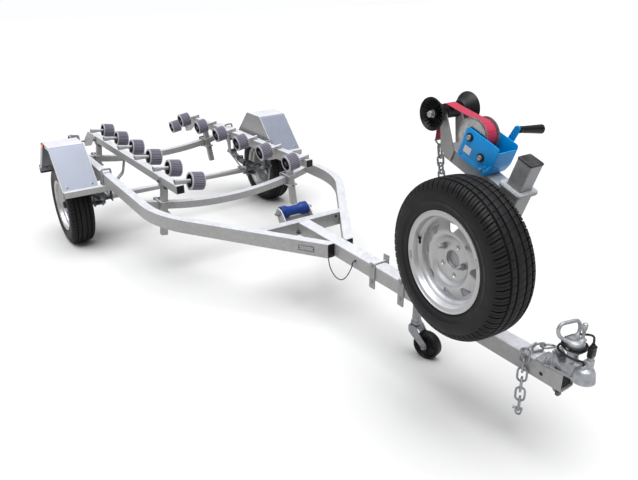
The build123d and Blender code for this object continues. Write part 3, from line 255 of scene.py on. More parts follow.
class Shape:
    # gathers mesh parts in millimetres, each laid by its own place, and makes them one piece
    def __init__(self, *finishes):
        self.mesh = bmesh.new()
        self.finishes = finishes
        self.finish = 0

    def face(self, corners):
        self.mesh.faces.new(corners).material_index = self.finish

    def ring(self, points, place):
        return [self.mesh.verts.new(place @ Vector(point)) for point in points]

    def turned(self, profile, place, segments=48, loop=False):
        # profile holds pairs of radius and distance along the place's Z
        turns = [2 * math.pi * step / segments for step in range(segments)]
        self.skin([self.ring([(radius * math.cos(turn), radius * math.sin(turn), along) for turn in turns]
                             if radius > 0 else [(0, 0, along)], place) for radius, along in profile], loop)

    def skin(self, rings, loop=False, ends=False):
        for lower, upper in list(zip(rings, rings[1:])) + ([(rings[-1], rings[0])] if loop else []):
            count = max(len(lower), len(upper))
            for step in range(count):
                following = (step + 1) % count
                if len(lower) == 1:
                    self.face((lower[0], upper[step], upper[following]))
                elif len(upper) == 1:
                    self.face((lower[step], lower[following], upper[0]))
                else:
                    self.face((lower[step], lower[following], upper[following], upper[step]))
        if ends:
            self.face(rings[0][::-1])
            self.face(rings[-1])

    def prism(self, outline, place, low, high, bevel=0.0):
        # outline lies in the place's XY; bevel takes the edges off both ends
        outline = [Vector(corner) for corner in outline]
        middle = sum(outline, Vector((0, 0))) / len(outline)
        reach = max((corner - middle).length for corner in outline)
        levels = [(low, 0), (high, 0)]
        if bevel:
            levels = [(low, bevel), (low + bevel, 0), (high - bevel, 0), (high, bevel)]
        rings = []
        for along, inset in levels:
            share = 1 - inset / reach
            rings.append(self.ring([(*(middle + (corner - middle) * share), along) for corner in outline], place))
        self.skin(rings, ends=True)

    def block(self, size, place, bevel=1.0):
        x, y, z = (part / 2 for part in size)
        cut = min(bevel, x * 0.4, y * 0.4)
        outline = [(-x + cut, -y), (x - cut, -y), (x, -y + cut), (x, y - cut), (x - cut, y), (-x + cut, y),
                   (-x, y - cut), (-x, -y + cut)]
        self.prism(outline, place, -z, z, min(bevel, z * 0.4))

    def rod(self, points, radius, segments=12, closed=False, flat=1.0, place=level):
        # a round bar that follows the points
        points = [Vector(point) for point in points]
        count = len(points)
        turns = [2 * math.pi * corner / segments for corner in range(segments)]
        rings = []
        side = None
        for step, point in enumerate(points):
            before = points[step - 1] if step or closed else points[0]
            after = points[(step + 1) % count] if step < count - 1 or closed else points[-1]
            way = (after - before).normalized()
            if side is None:
                side = way.orthogonal().normalized()
            side = (side - way * side.dot(way)).normalized()
            other = way.cross(side)
            rings.append(self.ring([point + side * (radius * math.cos(turn)) + other * (radius * flat * math.sin(turn))
                                    for turn in turns], place))
        self.skin(rings, ends=not closed)
        if closed:
            # the last ring is joined to the first where their corners are nearest
            first, last = rings[0], rings[-1]
            starts = [first[shift:] + first[:shift] for shift in range(segments)]
            self.skin([last, min(starts, key=lambda ring: sum((a.co - b.co).length for a, b in zip(ring, last)))])

    def nut(self, place, across=19.0, height=10.0, bore=0.0, domed=False):
        # a hexagon with its corners turned off; place's Z points out of the surface
        corner = across / 2 / math.cos(math.pi / 6)
        turns = [math.pi / 3 * step for step in range(6)]
        self.skin([self.ring([(size * math.cos(turn), size * math.sin(turn), along) for turn in turns], place)
                   for along, size in ((0, corner), (height * 0.8, corner), (height, corner * 0.88))], ends=True)
        if bore:
            self.turned([(bore, height * 0.5), (bore, height + bore * 0.9), (bore * 0.8, height + bore * 1.15),
                         (0, height + bore * 1.15)], place, 16)
        if domed:
            self.turned([(corner * 0.80, height), (corner * 0.70, height + 4), (corner * 0.40, height + 8),
                         (0, height + 9.5)], place, 18)

    def disc(self, radius, low, high, place, segments):
        self.turned([(0, low), (radius, low), (radius, high), (0, high)], place, segments)

    def washer(self, place, radius=14.0, thickness=2.5):
        self.turned([(0, 0), (radius, 0), (radius, thickness * 0.7), (radius - 1, thickness), (0, thickness)], place, 28)

    def bolt(self, place, across=19.0, bore=6.0, washer=14.0):
        self.washer(place, washer)
        self.nut(place @ moved(0, 0, 2.5), across, across * 0.5, bore)

    def closeMesh(self, name, smooth):
        bmesh.ops.recalc_face_normals(self.mesh, faces=self.mesh.faces)
        data = bpy.data.meshes.new(name)
        self.mesh.to_mesh(data)
        self.mesh.free()
        for finish in self.finishes:
            data.materials.append(looks[finish])
        return shaded(data, smooth)

    def piece(self, name, body, smooth=35.0, slot=None, replaced=()):
        made = linked(name, self.closeMesh(name, smooth))
        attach(made, body)
        if replaced:
            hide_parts(*replaced)
        return made


def shaded(data, smooth):
    data.shade_smooth()
    data.set_sharp_from_angle(angle=math.radians(smooth))
    return data


def linked(name, data):
    made = bpy.data.objects.new(name, data)
    bpy.context.scene.collection.objects.link(made)
    return made


def rounded(points, radius, steps=6, closed=False):
    # a polyline whose corners are turned with arcs near this radius
    points = [Vector(point) for point in points]
    if closed:
        points = [points[-1]] + points + [points[0]]
    made = [] if closed else [points[0]]
    for before, corner, after in zip(points, points[1:], points[2:]):
        back, on = before - corner, after - corner
        cut = min(radius, back.length * 0.48, on.length * 0.48)
        start, end = corner + back.normalized() * cut, corner + on.normalized() * cut
        for step in range(steps + 1):
            part = step / steps
            made.append(start * (1 - part) ** 2 + corner * (2 * part * (1 - part)) + end * part ** 2)
    return made if closed else made + [points[-1]]


def outlined(corners, radius, steps=5, closed=True):
    return [(point.x, point.y) for point in rounded([(x, y, 0) for x, y in corners], radius, steps, closed)]


def square(wide, high, radius, middle=(0.0, 0.0), steps=4):
    ways = ((-0.5, -0.5), (0.5, -0.5), (0.5, 0.5), (-0.5, 0.5))
    return outlined([(middle[0] + wide * x, middle[1] + high * y) for x, y in ways], radius, steps)


def applied(piece, smooth):
    graph = bpy.context.evaluated_depsgraph_get()
    result = bpy.data.meshes.new_from_object(piece.evaluated_get(graph))
    piece.modifiers.clear()
    piece.data = shaded(result, smooth)


def carve(piece, cutter, smooth, bevel=0.0):
    # takes the cutter out of the piece and rounds what edges are left
    cutter = linked("cutter", cutter.closeMesh("cutter", smooth))
    difference = piece.modifiers.new("cut", "BOOLEAN")
    difference.operation = "DIFFERENCE"
    difference.solver = "EXACT"
    difference.object = cutter
    if bevel:
        soften = piece.modifiers.new("soften", "BEVEL")
        soften.width = bevel
        soften.segments = 2
        soften.limit_method = "ANGLE"
        soften.angle_limit = math.radians(40)
    applied(piece, smooth)
    bpy.data.objects.remove(cutter)


studio = {
    "camera": [(0.56108682, -0.27688525, 0.78007444, 1.01170415), (0.82682261, 0.2322359, -0.51228006, -1.70954655),
               (-0.0393185, 0.93241678, 0.35923949, 1.22732595), (0.0, 0.0, 0.0, 1.0)],
    "lens": 35.09131,
    "floorHeight": -0.36559,
    "floor": [(0.58, 0.58, 0.583), (0.60, 0.60, 0.60)],
    "sky": [(0.0, 1.0), (0.03, 1.0), (0.08, 0.12), (0.5, 0.24), (0.8, 1.1), (1.0, 1.5)],   # by height, horizon to top
    "lights": [("keyLight", 3.4, 50.0, (0.2, -0.15, 1.0)), ("sideLight", 3.4 * 0.03, 60.0, (0.9, -0.9, 0.5))],
}


def makeStudio():
    camera = linked("camera", bpy.data.cameras.new("camera"))
    camera.matrix_world = Matrix(studio["camera"])
    camera.data.sensor_width = 36.0
    camera.data.lens = studio["lens"]
    camera.data.clip_end = 400.0
    bpy.context.scene.camera = camera
    ground = bmesh.new()
    bmesh.ops.create_circle(ground, cap_ends=True, segments=96, radius=150.0)
    sheet = bpy.data.meshes.new("floor")
    ground.to_mesh(sheet)
    ground.free()
    floor = linked("floor", sheet)
    floor.location = (-2.2, 0.0, studio["floorHeight"])
    pale = Surface("paleFloor", Roughness=0.9)
    pale.feed(Base_Color=pale.mix(pale.noise(0.6), *studio["floor"]))
    sheet.materials.append(pale.material)
    world = bpy.data.worlds.new("studioSky")
    bpy.context.scene.world = world
    world.use_nodes = True
    sky = world.node_tree
    direction = sky.nodes.new("ShaderNodeTexCoord")
    height = sky.nodes.new("ShaderNodeSeparateXYZ")
    shade = sky.nodes.new("ShaderNodeValToRGB")
    while len(shade.color_ramp.elements) < len(studio["sky"]):
        shade.color_ramp.elements.new(0.5)
    for stop, (position, value) in zip(shade.color_ramp.elements, studio["sky"]):
        stop.position = position
        stop.color = (value * 0.985, value * 0.99, value, 1)
    sky.links.new(direction.outputs["Generated"], height.inputs[0])
    sky.links.new(height.outputs["Z"], shade.inputs[0])
    sky.links.new(shade.outputs["Color"], sky.nodes["Background"].inputs["Color"])
    sky.nodes["Background"].inputs["Strength"].default_value = 1.0
    bpy.context.scene.view_settings.view_transform = "Standard"
    for name, energy, angle, way in studio["lights"]:
        lamp = linked(name, bpy.data.lights.new(name, "SUN"))
        lamp.data.energy = energy
        lamp.data.angle = math.radians(angle)
        lamp.rotation_euler = Vector(way).to_track_quat("Z", "Y").to_euler()
    print("studio")


makeStudio()

plugCable = {
    "radius": 4.0,
    "coilHalf": 38.6,
    "coilPitch": 8.7,
    "coilLow": 95.5,
    "neckX": -52.0,
    "start": [(2, -15, 55), (2, -15, 72), (-8, -48, 84), (-52, -54, 86), (-98, -40, 90)],
    "end": [(-34, 46, 138), (-8, 28, 152), (8, 8, 156), (9, 6, 140)],
}
railWire = {
    "radius": 2.6,
    "points": [(-1416, -60, -80.2), (-1416, -60, -104), (-1400, -59, -146), (-1362, -57, -176), (-1314, -55, -178),
               (-1274, -54, -146), (-1242, -54, -98), (-1224, -54, -60), (-1221, -54, -36), (-1221, -37.7, -36)],
}


def cordLine(name, points, radius, finish):
    curve = bpy.data.curves.new(name, "CURVE")
    curve.dimensions = "3D"
    spline = curve.splines.new("NURBS")
    spline.points.add(len(points) - 1)
    for point, place in zip(spline.points, points):
        point.co = (*(level @ Vector(place)), 1)
    spline.order_u = 3
    spline.use_endpoint_u = True
    spline.resolution_u = 12
    curve.bevel_depth = radius / 1000
    curve.bevel_resolution = 5
    curve.use_fill_caps = True
    curve.materials.append(looks[finish])
    made = linked(name, curve)
    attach(made, "trailer")
    return made


def lineLength(piece):
    bare = piece.data.copy()
    bare.bevel_depth = 0
    spare = bpy.data.objects.new("spare", bare)
    line = bpy.data.meshes.new_from_object(spare)
    length = sum((line.vertices[a].co - line.vertices[b].co).length for a, b in (edge.vertices for edge in line.edges))
    bpy.data.objects.remove(spare)
    bpy.data.meshes.remove(line)
    return length


def makeCords():
    half = plugCable["coilHalf"]
    corners = [(plugCable["neckX"] + wayX * half, wayY * half, plugCable["coilLow"] + step * plugCable["coilPitch"] / 4)
               for step, (wayX, wayY) in enumerate([(-1, 1), (1, 1), (1, -1), (-1, -1)] * 2 + [(-1, 1)])]
    cable = cordLine("plugCable", plugCable["start"] + corners + plugCable["end"], plugCable["radius"], "cable")
    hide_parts("plug_cable")
    wire = cordLine("railWire", railWire["points"], railWire["radius"], "cable")
    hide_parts("drawbar_wire")
    print("cords", round(lineLength(cable), 3), round(lineLength(wire), 3))
    return cable, wire


cable, wire = makeCords()

tyre = {
    "pitches": 66,               # tread blocks round the shoulder
    "slot": 6.0,                 # depth of the shoulder's slots
    "sipe": 2.4,                 # depth of the fine cuts
    "half": [                    # distance from the middle, radius, part of the tread's cuts at that place
        (0, 287.3, "rib"), (13.5, 287.2, "rib"), (14.5, 286.6, "rib"), (15.6, 280.6, ""), (21.6, 280.3, ""),
        (22.6, 285.9, "rib"), (24, 286.8, "rib"), (40, 285.8, "rib"), (41.5, 285.2, "rib"), (42.6, 279.4, ""),
        (48.4, 278.8, ""), (49.4, 283.6, "slot"), (51, 284.3, "slot"), (58, 282.0, "slot"), (65, 278.6, "slot"),
        (71, 274.0, "slot"), (75.2, 268.6, "slot"), (78.0, 262.5, "slot"), (80.2, 256.0, "end"), (81.2, 252.0, ""),
        (82.6, 250.5, ""), (83.4, 247.0, ""), (84.8, 238.0, ""), (85.4, 229.0, ""), (84.9, 220.0, ""),
        (84.6, 217.5, ""), (85.5, 216.0, ""), (85.0, 213.0, ""), (83.0, 210.0, ""), (81.2, 203.0, ""),
        (79.0, 196.5, ""), (79.6, 194.5, ""), (79.2, 191.0, ""), (77.0, 189.0, ""), (76.0, 185.0, ""),
        (74.0, 183.4, ""), (69.6, 183.0, ""), (69.6, 167.0, "")],
    "inside": [(60, 167.0), (64, 192.0), (74, 228.0), (66, 262.0), (42, 273.0)],
}
rim = {
    "barrel": [                  # distance from the middle, radius, one half
        (0, 148.0), (38, 148.0), (43, 150.0), (51, 161.0), (56, 163.0), (69, 164.6), (71, 166.5), (72, 180.0),
        (74, 182.0), (77, 182.0), (78, 180.5), (78, 178.0), (76, 176.4), (74.6, 172.0), (73.6, 162.4), (71, 160.6),
        (58, 158.8), (53, 156.6), (46, 146.6), (41, 144.2), (0, 144.2)],
    "disc": [                    # radius, distance from the middle
        (33, 23), (33, 26.5), (34, 27.5), (70, 27.5), (77, 29), (84, 35), (90, 42), (96, 46), (101, 46.6), (107, 45.4),
        (118, 41.0), (128, 36.5), (136, 33.0), (141, 31.5), (145.5, 31.6), (146.5, 29.5), (146.5, 16.0), (144.4, 16.0),
        (142.6, 24.5), (136, 27.6), (118, 36.0), (107, 40.4), (98, 41.4), (90, 38.0), (82, 28.4), (76, 23.6), (70, 22.2),
        (34, 22.2)],
    "window": [(104, 6.5), (131.5, 26.5), (131.5, -26.5), (104, -6.5)],
    "corner": 7.0,
    "studs": 5,
    "studCircle": 57.15,
    "studStart": 39.5,
}


def tyrePiece(name, place, body, node):
    shape = Shape("tyre", "sidewall", "groove")
    columns = [0.0, 0.035, 0.17, 0.205, 0.57, 0.60, 0.655, 0.685]    # parts of a pitch: slot, block, fine cut, block
    rows = [(-along, radius, cut) for along, radius, cut in reversed(tyre["half"][1:])] + tyre["half"]
    rings = []
    turns = [(pitch + part) / tyre["pitches"] * 2 * math.pi for pitch in range(tyre["pitches"]) for part in columns]
    for along, radius, cut in rows:
        outer = max(0.0, (abs(along) - 42) / 40)
        sweep = 0.0011 * along if abs(along) < 42 else math.copysign(0.045 * outer ** 1.4, along)
        depths = [0.0] * len(columns)
        if cut in ("slot", "end"):
            depths[1] = depths[2] = tyre["slot"] * (1.0 if cut == "slot" else 0.35)
        if cut in ("slot", "rib") and abs(along) > 1:
            depths[5] = depths[6] = tyre["sipe"]
        sizes = [radius - depths[step % len(columns)] for step in range(len(turns))]
        rings.append(shape.ring([(size * math.cos(turn + sweep), along, size * math.sin(turn + sweep))
                                 for size, turn in zip(sizes, turns)], place))
    for along, radius in tyre["inside"] + [(-along, radius) for along, radius in reversed(tyre["inside"])]:
        rings.append(shape.ring([(radius * math.cos(turn), along, radius * math.sin(turn)) for turn in turns], place))
    shape.skin(rings, loop=True)
    # sidewall faces take the sidewall rubber; floors of grooves, slots and cuts take the groove rubber as painted shade
    for number, face in enumerate(shape.mesh.faces):
        row, part = number // len(turns), number % len(turns) % len(columns)
        along, radius, cut = rows[min(row, len(rows) - 1)]
        beyond = rows[min(row + 1, len(rows) - 1)][2]
        inSlot = part < 3 and cut == "slot" and beyond
        if row >= len(rows) - 1 or abs(along) > 80.5 or radius < 250:
            face.material_index = 1
        elif (not cut and abs(along) < 50) or inSlot or (part == 5 and cut in ("slot", "rib")):
            face.material_index = 2
    shape.piece(name, body, 38.0, "tyre", (node,))


def studSpot(upright, step, height):
    return upright @ rotated(-(rim["studStart"] + 72 * step), "Z") @ moved(rim["studCircle"], 0, height)


def rimPiece(name, place, body, node, valveTurn=173.0):
    barrel = Shape("rim")
    upright = place @ alongY
    half = rim["barrel"]
    outline = [(radius, along) for along, radius in half] + [(radius, -along) for along, radius in reversed(half)]
    barrel.turned(outline, upright, 144, loop=True)
    disc = Shape("rim")
    disc.turned(rim["disc"], upright, 160, loop=True)
    windows = Shape()
    for step in range(8):
        turn = upright @ rotated(45 * step, "Z")
        windows.prism(outlined(rim["window"], rim["corner"]), turn, 5, 70)
    for step in range(rim["studs"]):
        windows.turned([(0, 15), (7.2, 15), (7.2, 23), (10.5, 28), (10.5, 32), (0, 32)], studSpot(upright, step, 0), 24)
    carve(disc.piece(name + "Disc", body, 30.0, "wheel_paint", (node,)), windows, 30.0, 0.0011)
    valve = upright @ rotated(valveTurn, "Z")
    barrel.finishes = ("rim", "black", "zinc")
    barrel.finish = 1
    barrel.turned([(0, 0), (6.5, 0), (6.5, 5), (4.6, 8), (4.0, 24), (4.6, 25), (4.6, 35), (3.6, 37), (0, 37)],
                  valve @ moved(157, 0, 49) @ rotated(-52, "Y"), 16)
    barrel.finish = 2
    for turn in (12, 201):    # balance weights
        barrel.block((32, 9, 5), upright @ rotated(turn, "Z") @ moved(173.1, 0, 74.4) @ rotated(90, "Z"), 1.6)
    barrel.piece(name + "Barrel", body, 30.0, "wheel_paint")


def wheelNuts(name, place, body, which):
    shape = Shape("bolt", "dull")
    for step in which:
        spot = studSpot(place @ alongY, step, 25)
        shape.turned([(0, 0), (9.6, 0), (11.6, 4), (11.8, 6), (0, 6)], spot, 24)
        shape.nut(spot @ moved(0, 0, 5), 19.0, 13.0, 6.0)
    shape.piece(name, body, 30.0)


def hubPiece(name, place, body, node):
    upright = place @ alongY
    shape = Shape("running", "black", "bolt")
    shape.turned([(15.6, -62), (34, -62), (36, -60), (37, -30), (40, 6), (44, 9.5), (72, 10), (74, 11.5), (74, 20.5),
                  (72.5, 22), (33, 22), (32.6, 27), (27, 29.5), (26.6, 30), (15.6, 30)], upright, 72, loop=True)
    shape.finish = 1
    shape.turned([(0, 29), (26.4, 29), (26.4, 33), (25.4, 35), (25.0, 56), (24.2, 60.5), (21.0, 64.2), (17.6, 65.6),
                  (16.8, 64.4), (0, 64.0)], upright, 56)
    shape.finish = 2
    for step in range(rim["studs"]):
        shape.disc(9, 0, 6.5, studSpot(upright, step, 4), 20)
    shape.piece(name, body, 32.0, "grey_metal", (node,))


wheels = {
    "axle": (-3585.0, -297.5),
    "track": 811.0,
    "spare": (-399.0, -224.0, 356.0),
    "spareYaw": -4.0,
}


def makeWheels():
    for side, way in sides:
        place = at(wheels["axle"][0], way * wheels["track"], wheels["axle"][1], rotated(0 if way > 0 else 180, "Z"))
        body = "wheel_" + side
        tyrePiece(side + "Tyre", place, body, "tyre_" + side)
        rimPiece(side + "Rim", place, body, "rim_" + side)
        hubPiece(side + "Hub", place, body, "hub_" + side)
        wheelNuts(side + "Nuts", place, body, range(5))
    spare = at(*wheels["spare"], rotated(180 + wheels["spareYaw"], "Z"))
    tyrePiece("spareTyre", spare, "trailer", "spare_tyre")
    rimPiece("spareRim", spare, "trailer", "spare_rim", -11.0)
    wheelNuts("spareNuts", spare, "trailer", (0, 2))
    print("wheels")


makeWheels()

roller = {
    "radius": 55.0,
    "half": 42.0,
    "ribs": 30,
    "ribDepth": 2.2,
    "bore": 12.2,
    "spots": [-2405.0 - 350.0 * step for step in range(6)],
    "side": 333.0,
    "slope": 1.7,                # of the beams, degrees
    "beamStart": (-2363.0, 110.0),
    "tilt": 9.5,
    "pipeRise": 16.6,            # of a pipe's middle over the beam
    "inboard": 118.0,            # from the beam's middle to the roller's
    "tail": (-4760.0, 476.0, -143.0),
}


def rollerMesh():
    shape = Shape("roller", "rollerEdge", "rollerInside", "rollerGroove")
    place = Matrix.Scale(0.001, 4)
    half, radius = roller["half"], roller["radius"]
    columns = [0.0, 0.16, 0.5, 0.66]
    turns = [(rib + part) / roller["ribs"] * 2 * math.pi for rib in range(roller["ribs"]) for part in columns]

    def ring(along, size, ribbed=False):
        sizes = [size - (roller["ribDepth"] if ribbed and step % 4 in (1, 2) else 0) for step in range(len(turns))]
        return shape.ring([(size * math.cos(turn), size * math.sin(turn), along)
                           for size, turn in zip(sizes, turns)], place)

    def band(finish, sections):
        shape.finish = finish
        shape.skin([ring(*section) for section in sections])

    band(0, [(-35.5, radius - 0.4), (-34.6, radius, True), (-20, radius, True), (0, radius, True), (20, radius, True),
             (34.6, radius, True), (35.5, radius - 0.4)])
    # painted shade on the floors of the ribs' grooves
    for number, groove in enumerate(shape.mesh.faces):
        if number % len(turns) % 4 == 1:
            groove.material_index = 3
    for way in (-1, 1):
        band(1, [(35.5 * way, radius - 0.4), (36.2 * way, radius), (39.5 * way, radius), (41.4 * way, radius - 1.2),
                 (half * way, radius - 3.4), (half * way, radius - 11.6), (41.0 * way, radius - 13.4)])
        # painted shade: the hollow end and its ribs take the near-black rubber
        band(2, [(41.0 * way, radius - 13.4), (38 * way, radius - 14.6), (12 * way, radius - 16.2),
                 (10 * way, radius - 18.4), (10 * way, 22.6), (11.5 * way, 19.4), (33 * way, 18.2), (34 * way, 17.4),
                 (34 * way, 13.2), (33 * way, roller["bore"]), (0, roller["bore"])])
        shape.finish = 2
        for rib in range(6):
            turn = place @ rotated(60 * rib + 15, "Z") @ moved(28.5, 0, way * 18.5)
            shape.block((22, 3.4, 17), turn, 0.8)
    bmesh.ops.remove_doubles(shape.mesh, verts=shape.mesh.verts, dist=0.00002)
    return shape.closeMesh("hullRoller", 34)


def beamTop(x):
    startX, startZ = roller["beamStart"]
    return startZ + (x - startX) * math.tan(math.radians(roller["slope"]))


def rollerHeight(x):
    return beamTop(x) + roller["pipeRise"] - roller["inboard"] * math.tan(math.radians(roller["tilt"]))


def makeRollers():
    data = rollerMesh()
    for side, way in sides:
        places = {f"hull_roller_{side}_{number}": (x, way * roller["side"], rollerHeight(x))
                  for number, x in enumerate(roller["spots"], start=1)}
        x, y, z = roller["tail"]
        places["tail_roller_" + side] = (x, way * y, z)
        for number, (node, spot) in enumerate(places.items()):
            made = linked("roller_" + node, data)
            made.matrix_world = (parked @ Matrix.Translation(Vector(spot) / 1000)
                                 @ rotated(way * roller["tilt"], "X") @ alongY @ rotated(7 * number, "Z"))
            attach(made, node)
            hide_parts(node)
    print("rollers")


makeRollers()

keelRoller = {
    "place": (-1846.0, 0.0, 22.0),
    "profile": [(8.2, -70), (24, -72), (25, -84.2), (33.5, -84.6), (35.6, -82.6), (36, -78), (36, -52), (35.4, -48),
                (28.4, -32), (27.6, -28.5), (27.5, 0)],
}


def makeKeelRoller():
    shape = Shape("keel", "zinc")
    half = keelRoller["profile"]
    whole = half + [(radius, -along) for radius, along in reversed(half[:-1])]
    spot = at(*keelRoller["place"], alongY)
    shape.turned(whole, spot, 72, loop=True)
    shape.finish = 1
    for way in (-1, 1):
        turn = spot if way > 0 else spot @ rotated(180, "X")
        shape.turned([(8.2, 71), (20, 71), (21, 72.5), (21, 76), (8.2, 76)], turn, 32, loop=True)
    shape.piece("keelRoller", "keel_roller", 30.0, "blue_rubber", ("keel_roller",))
    print("keel roller")


makeKeelRoller()

# x forward across the post, y to the trailer's left, z up the post
post = level @ moved(-562, 0, -5) @ rotated(19, "Y")


def onPost(forward, y, up, turn=Matrix()):
    return post @ moved(forward, y, up) @ turn


winch = {
    "drum": (-231.0, 688.0),
    "pinion": (-156.0, 649.0),
    "plate": 48.0,
    "outline": [(-258, 596), (-258, 718), (-96, 718), (-96, 640), (-112, 596)],
    "corners": 13.0,
    "holes": [(-136, 628, 5.0), (-121, 622, 3.4), (-112, 636, 5.5), (-243, 612, 4.0)],
    "teeth": 60,
    "gear": 66.5,
    "core": 22.6,
    "layers": 11,
    "layerPitch": 3.0,
    "wound": 56.0,
    "strap": 50.0,
    "stitches": (636, 646, 656),
    "screws": [(-232, -22), (-232, 22), (-140, -22), (-140, 22)],
    "screwHeight": 600.0,
    "bow": (-397.5, 694.5),
    "bowReach": 29.3,            # strap's distance from the bow roller's middle
    "hanging": (26.0, -112.0),
    "ring": (-397.0, 0.0, 563.0),
    "crankTop": (-140.0, 756.0),
    "footBolts": [(-625.0, -88.0), (-520.0, -88.0), (-500.0, 84.0)],
    "gripFoot": (-446.0, 60.0, 754.0),
    "gripWay": (16.0, 103.0, -9.0),
}


def makeWinchFrame():
    outline = outlined(winch["outline"], winch["corners"])
    for side, way in (("Left", 1), ("Right", -1)):
        plate = Shape("blue")
        plate.prism(outline, post @ towardsRight, -way * winch["plate"] - 2, -way * winch["plate"] + 2)
        holes = Shape()
        for forward, up, radius in winch["holes"]:
            holes.turned([(0, -12), (radius, -12), (radius, 12), (0, 12)],
                         onPost(forward, way * winch["plate"], up, alongY), 20)
        carve(plate.piece("winchPlate" + side, "trailer", 30.0, "blue_paint", ("winch_frame",)), holes, 30.0, 0.0007)
    fold = Shape("blue", "black", "bolt", "label")
    bent = rounded([(-256, 0, 598), (-114, 0, 598), (-98, 0, 641), (-98, 0, 700)], 9, 5)
    rings = []
    for step, point in enumerate(bent):
        way = (bent[min(step + 1, len(bent) - 1)] - bent[max(step - 1, 0)]).normalized()
        out = Vector((way.z, 0, -way.x)) * 2
        inner = winch["plate"] - 2.2
        rings.append(fold.ring([point + out * side + Vector((0, y, 0))
                                for side, y in ((1, -inner), (1, inner), (-1, inner), (-1, -inner))], post))
    fold.skin(rings, ends=True)
    # shaft ends with their black washers, outside both plates
    for forward, up in (winch["drum"], winch["pinion"]):
        for way, turn in ((-1, towardsRight), (1, alongY)):
            if way > 0 and forward == winch["pinion"][0]:
                continue
            spot = onPost(forward, way * (winch["plate"] + 2), up, turn)
            fold.finish = 1
            fold.turned([(0, 0), (15.5, 0), (16, 1), (16, 3), (14.5, 4.4), (0, 4.4)], spot, 32)
            fold.finish = 2
            fold.turned([(9.6, 4.4), (9.6, 9), (8.6, 10), (5.6, 10), (4.6, 8.6), (0, 8.6)], spot, 24)
    # the pinion's shaft out to the crank, with its spacer and nut
    fold.finish = 2
    fold.turned([(0, 0), (12.5, 0), (12.5, 9), (11, 10.6), (8, 10.6), (8, 22.5), (0, 22.5)],
                onPost(winch["pinion"][0], winch["plate"] + 2, winch["pinion"][1], alongY), 28)
    fold.nut(onPost(winch["pinion"][0], 70.2, winch["pinion"][1], alongY), 17, 7, 5)
    # blank plate, two screws that hold the winch down, and one through the flange
    fold.finish = 3
    label = onPost(-222, -winch["plate"] - 2, 640, towardsRight)
    fold.prism([(-17, -13), (17, -13), (17, 13), (-17, 13)], label, 0, 0.7, 0.2)
    fold.finish = 2
    for forward, y in winch["screws"]:
        fold.bolt(onPost(forward, y, winch["screwHeight"]), 15, 5, 11)
    fold.turned([(0, 0), (5.5, 0), (5.5, 3), (4.2, 4.4), (0, 4.4)],
                onPost(-139, -winch["plate"] - 2, 611, towardsRight), 20)
    fold.piece("winchFold", "trailer", 30.0, "blue_paint")
    print("winch frame")


def makeDrum():
    shape = Shape("gear", "bolt")
    place = onPost(winch["drum"][0], -41, winch["drum"][1], alongY)
    outline = []
    for tooth in range(winch["teeth"]):
        for part, size in ((0.0, -5.6), (0.25, -5.6), (0.42, 2.4), (0.54, 3.0), (0.66, 2.4), (0.84, -5.6)):
            turn = 2 * math.pi * (tooth + part) / winch["teeth"]
            radius = winch["gear"] + size
            outline.append((radius * math.cos(turn), radius * math.sin(turn)))
    shape.prism(outline, place, 0.4, 5.6)
    for turn in range(5):
        spot = place @ rotated(72 * turn + 20, "Z") @ moved(40, 0, 0.4) @ rotated(180, "X")
        shape.turned([(7.5, 0.2), (7.5, 1.2), (5.5, 1.2), (5.5, 0.2)], spot, 20)
    shape.turned([(0, -2), (13, -2), (20, 0.4), (0, 0.4)], place, 32)
    shape.finish = 1
    for low, high in ((8, 11), (72, 75)):
        shape.turned([(22, low), (62, low), (64, low + 0.6), (64, high - 0.6), (62, high), (22, high)],
                     place, 72, loop=True)
    shape.turned([(9.5, 5), (21.6, 5), (21.6, 77), (9.5, 77)], place, 40, loop=True)
    shape.piece("winchGear", "trailer", 28.0, "grey_metal", ("winch_drum",))
    print("drum")


def tangentPath():
    # over the drum's top, across to the bow roller, round it and down
    drum, bow = Vector(winch["drum"]), Vector(winch["bow"])
    reach, ease = winch["wound"] + 0.2, winch["bowReach"]
    lean = (reach - ease) / (bow - drum).length
    ahead = (bow - drum).normalized()
    normal = ahead * lean + Vector((ahead.y, -ahead.x)) * math.sqrt(1 - lean * lean)
    path = []

    def wrap(middle, radius, start, end, steps):
        for step in range(steps + 1):
            turn = math.radians(start + (end - start) * step / steps)
            out = Vector((math.cos(turn), math.sin(turn)))
            path.append((middle + out * radius, out))

    first = math.degrees(math.atan2(normal.y, normal.x))
    wrap(drum, reach, first - 95, first, 19)
    for part in (0.25, 0.5, 0.75):
        sag = -1.6 * math.sin(math.pi * part)
        path.append(((drum + normal * reach).lerp(bow + normal * ease, part) + normal * sag, normal))
    wrap(bow, ease, first, 198, 12)
    rear, side = path[-1]
    for part in (0.3, 0.65, 1.0):
        path.append((rear + Vector(winch["hanging"]) * part, side.lerp(Vector((-0.9, -0.44)), part).normalized()))
    return path


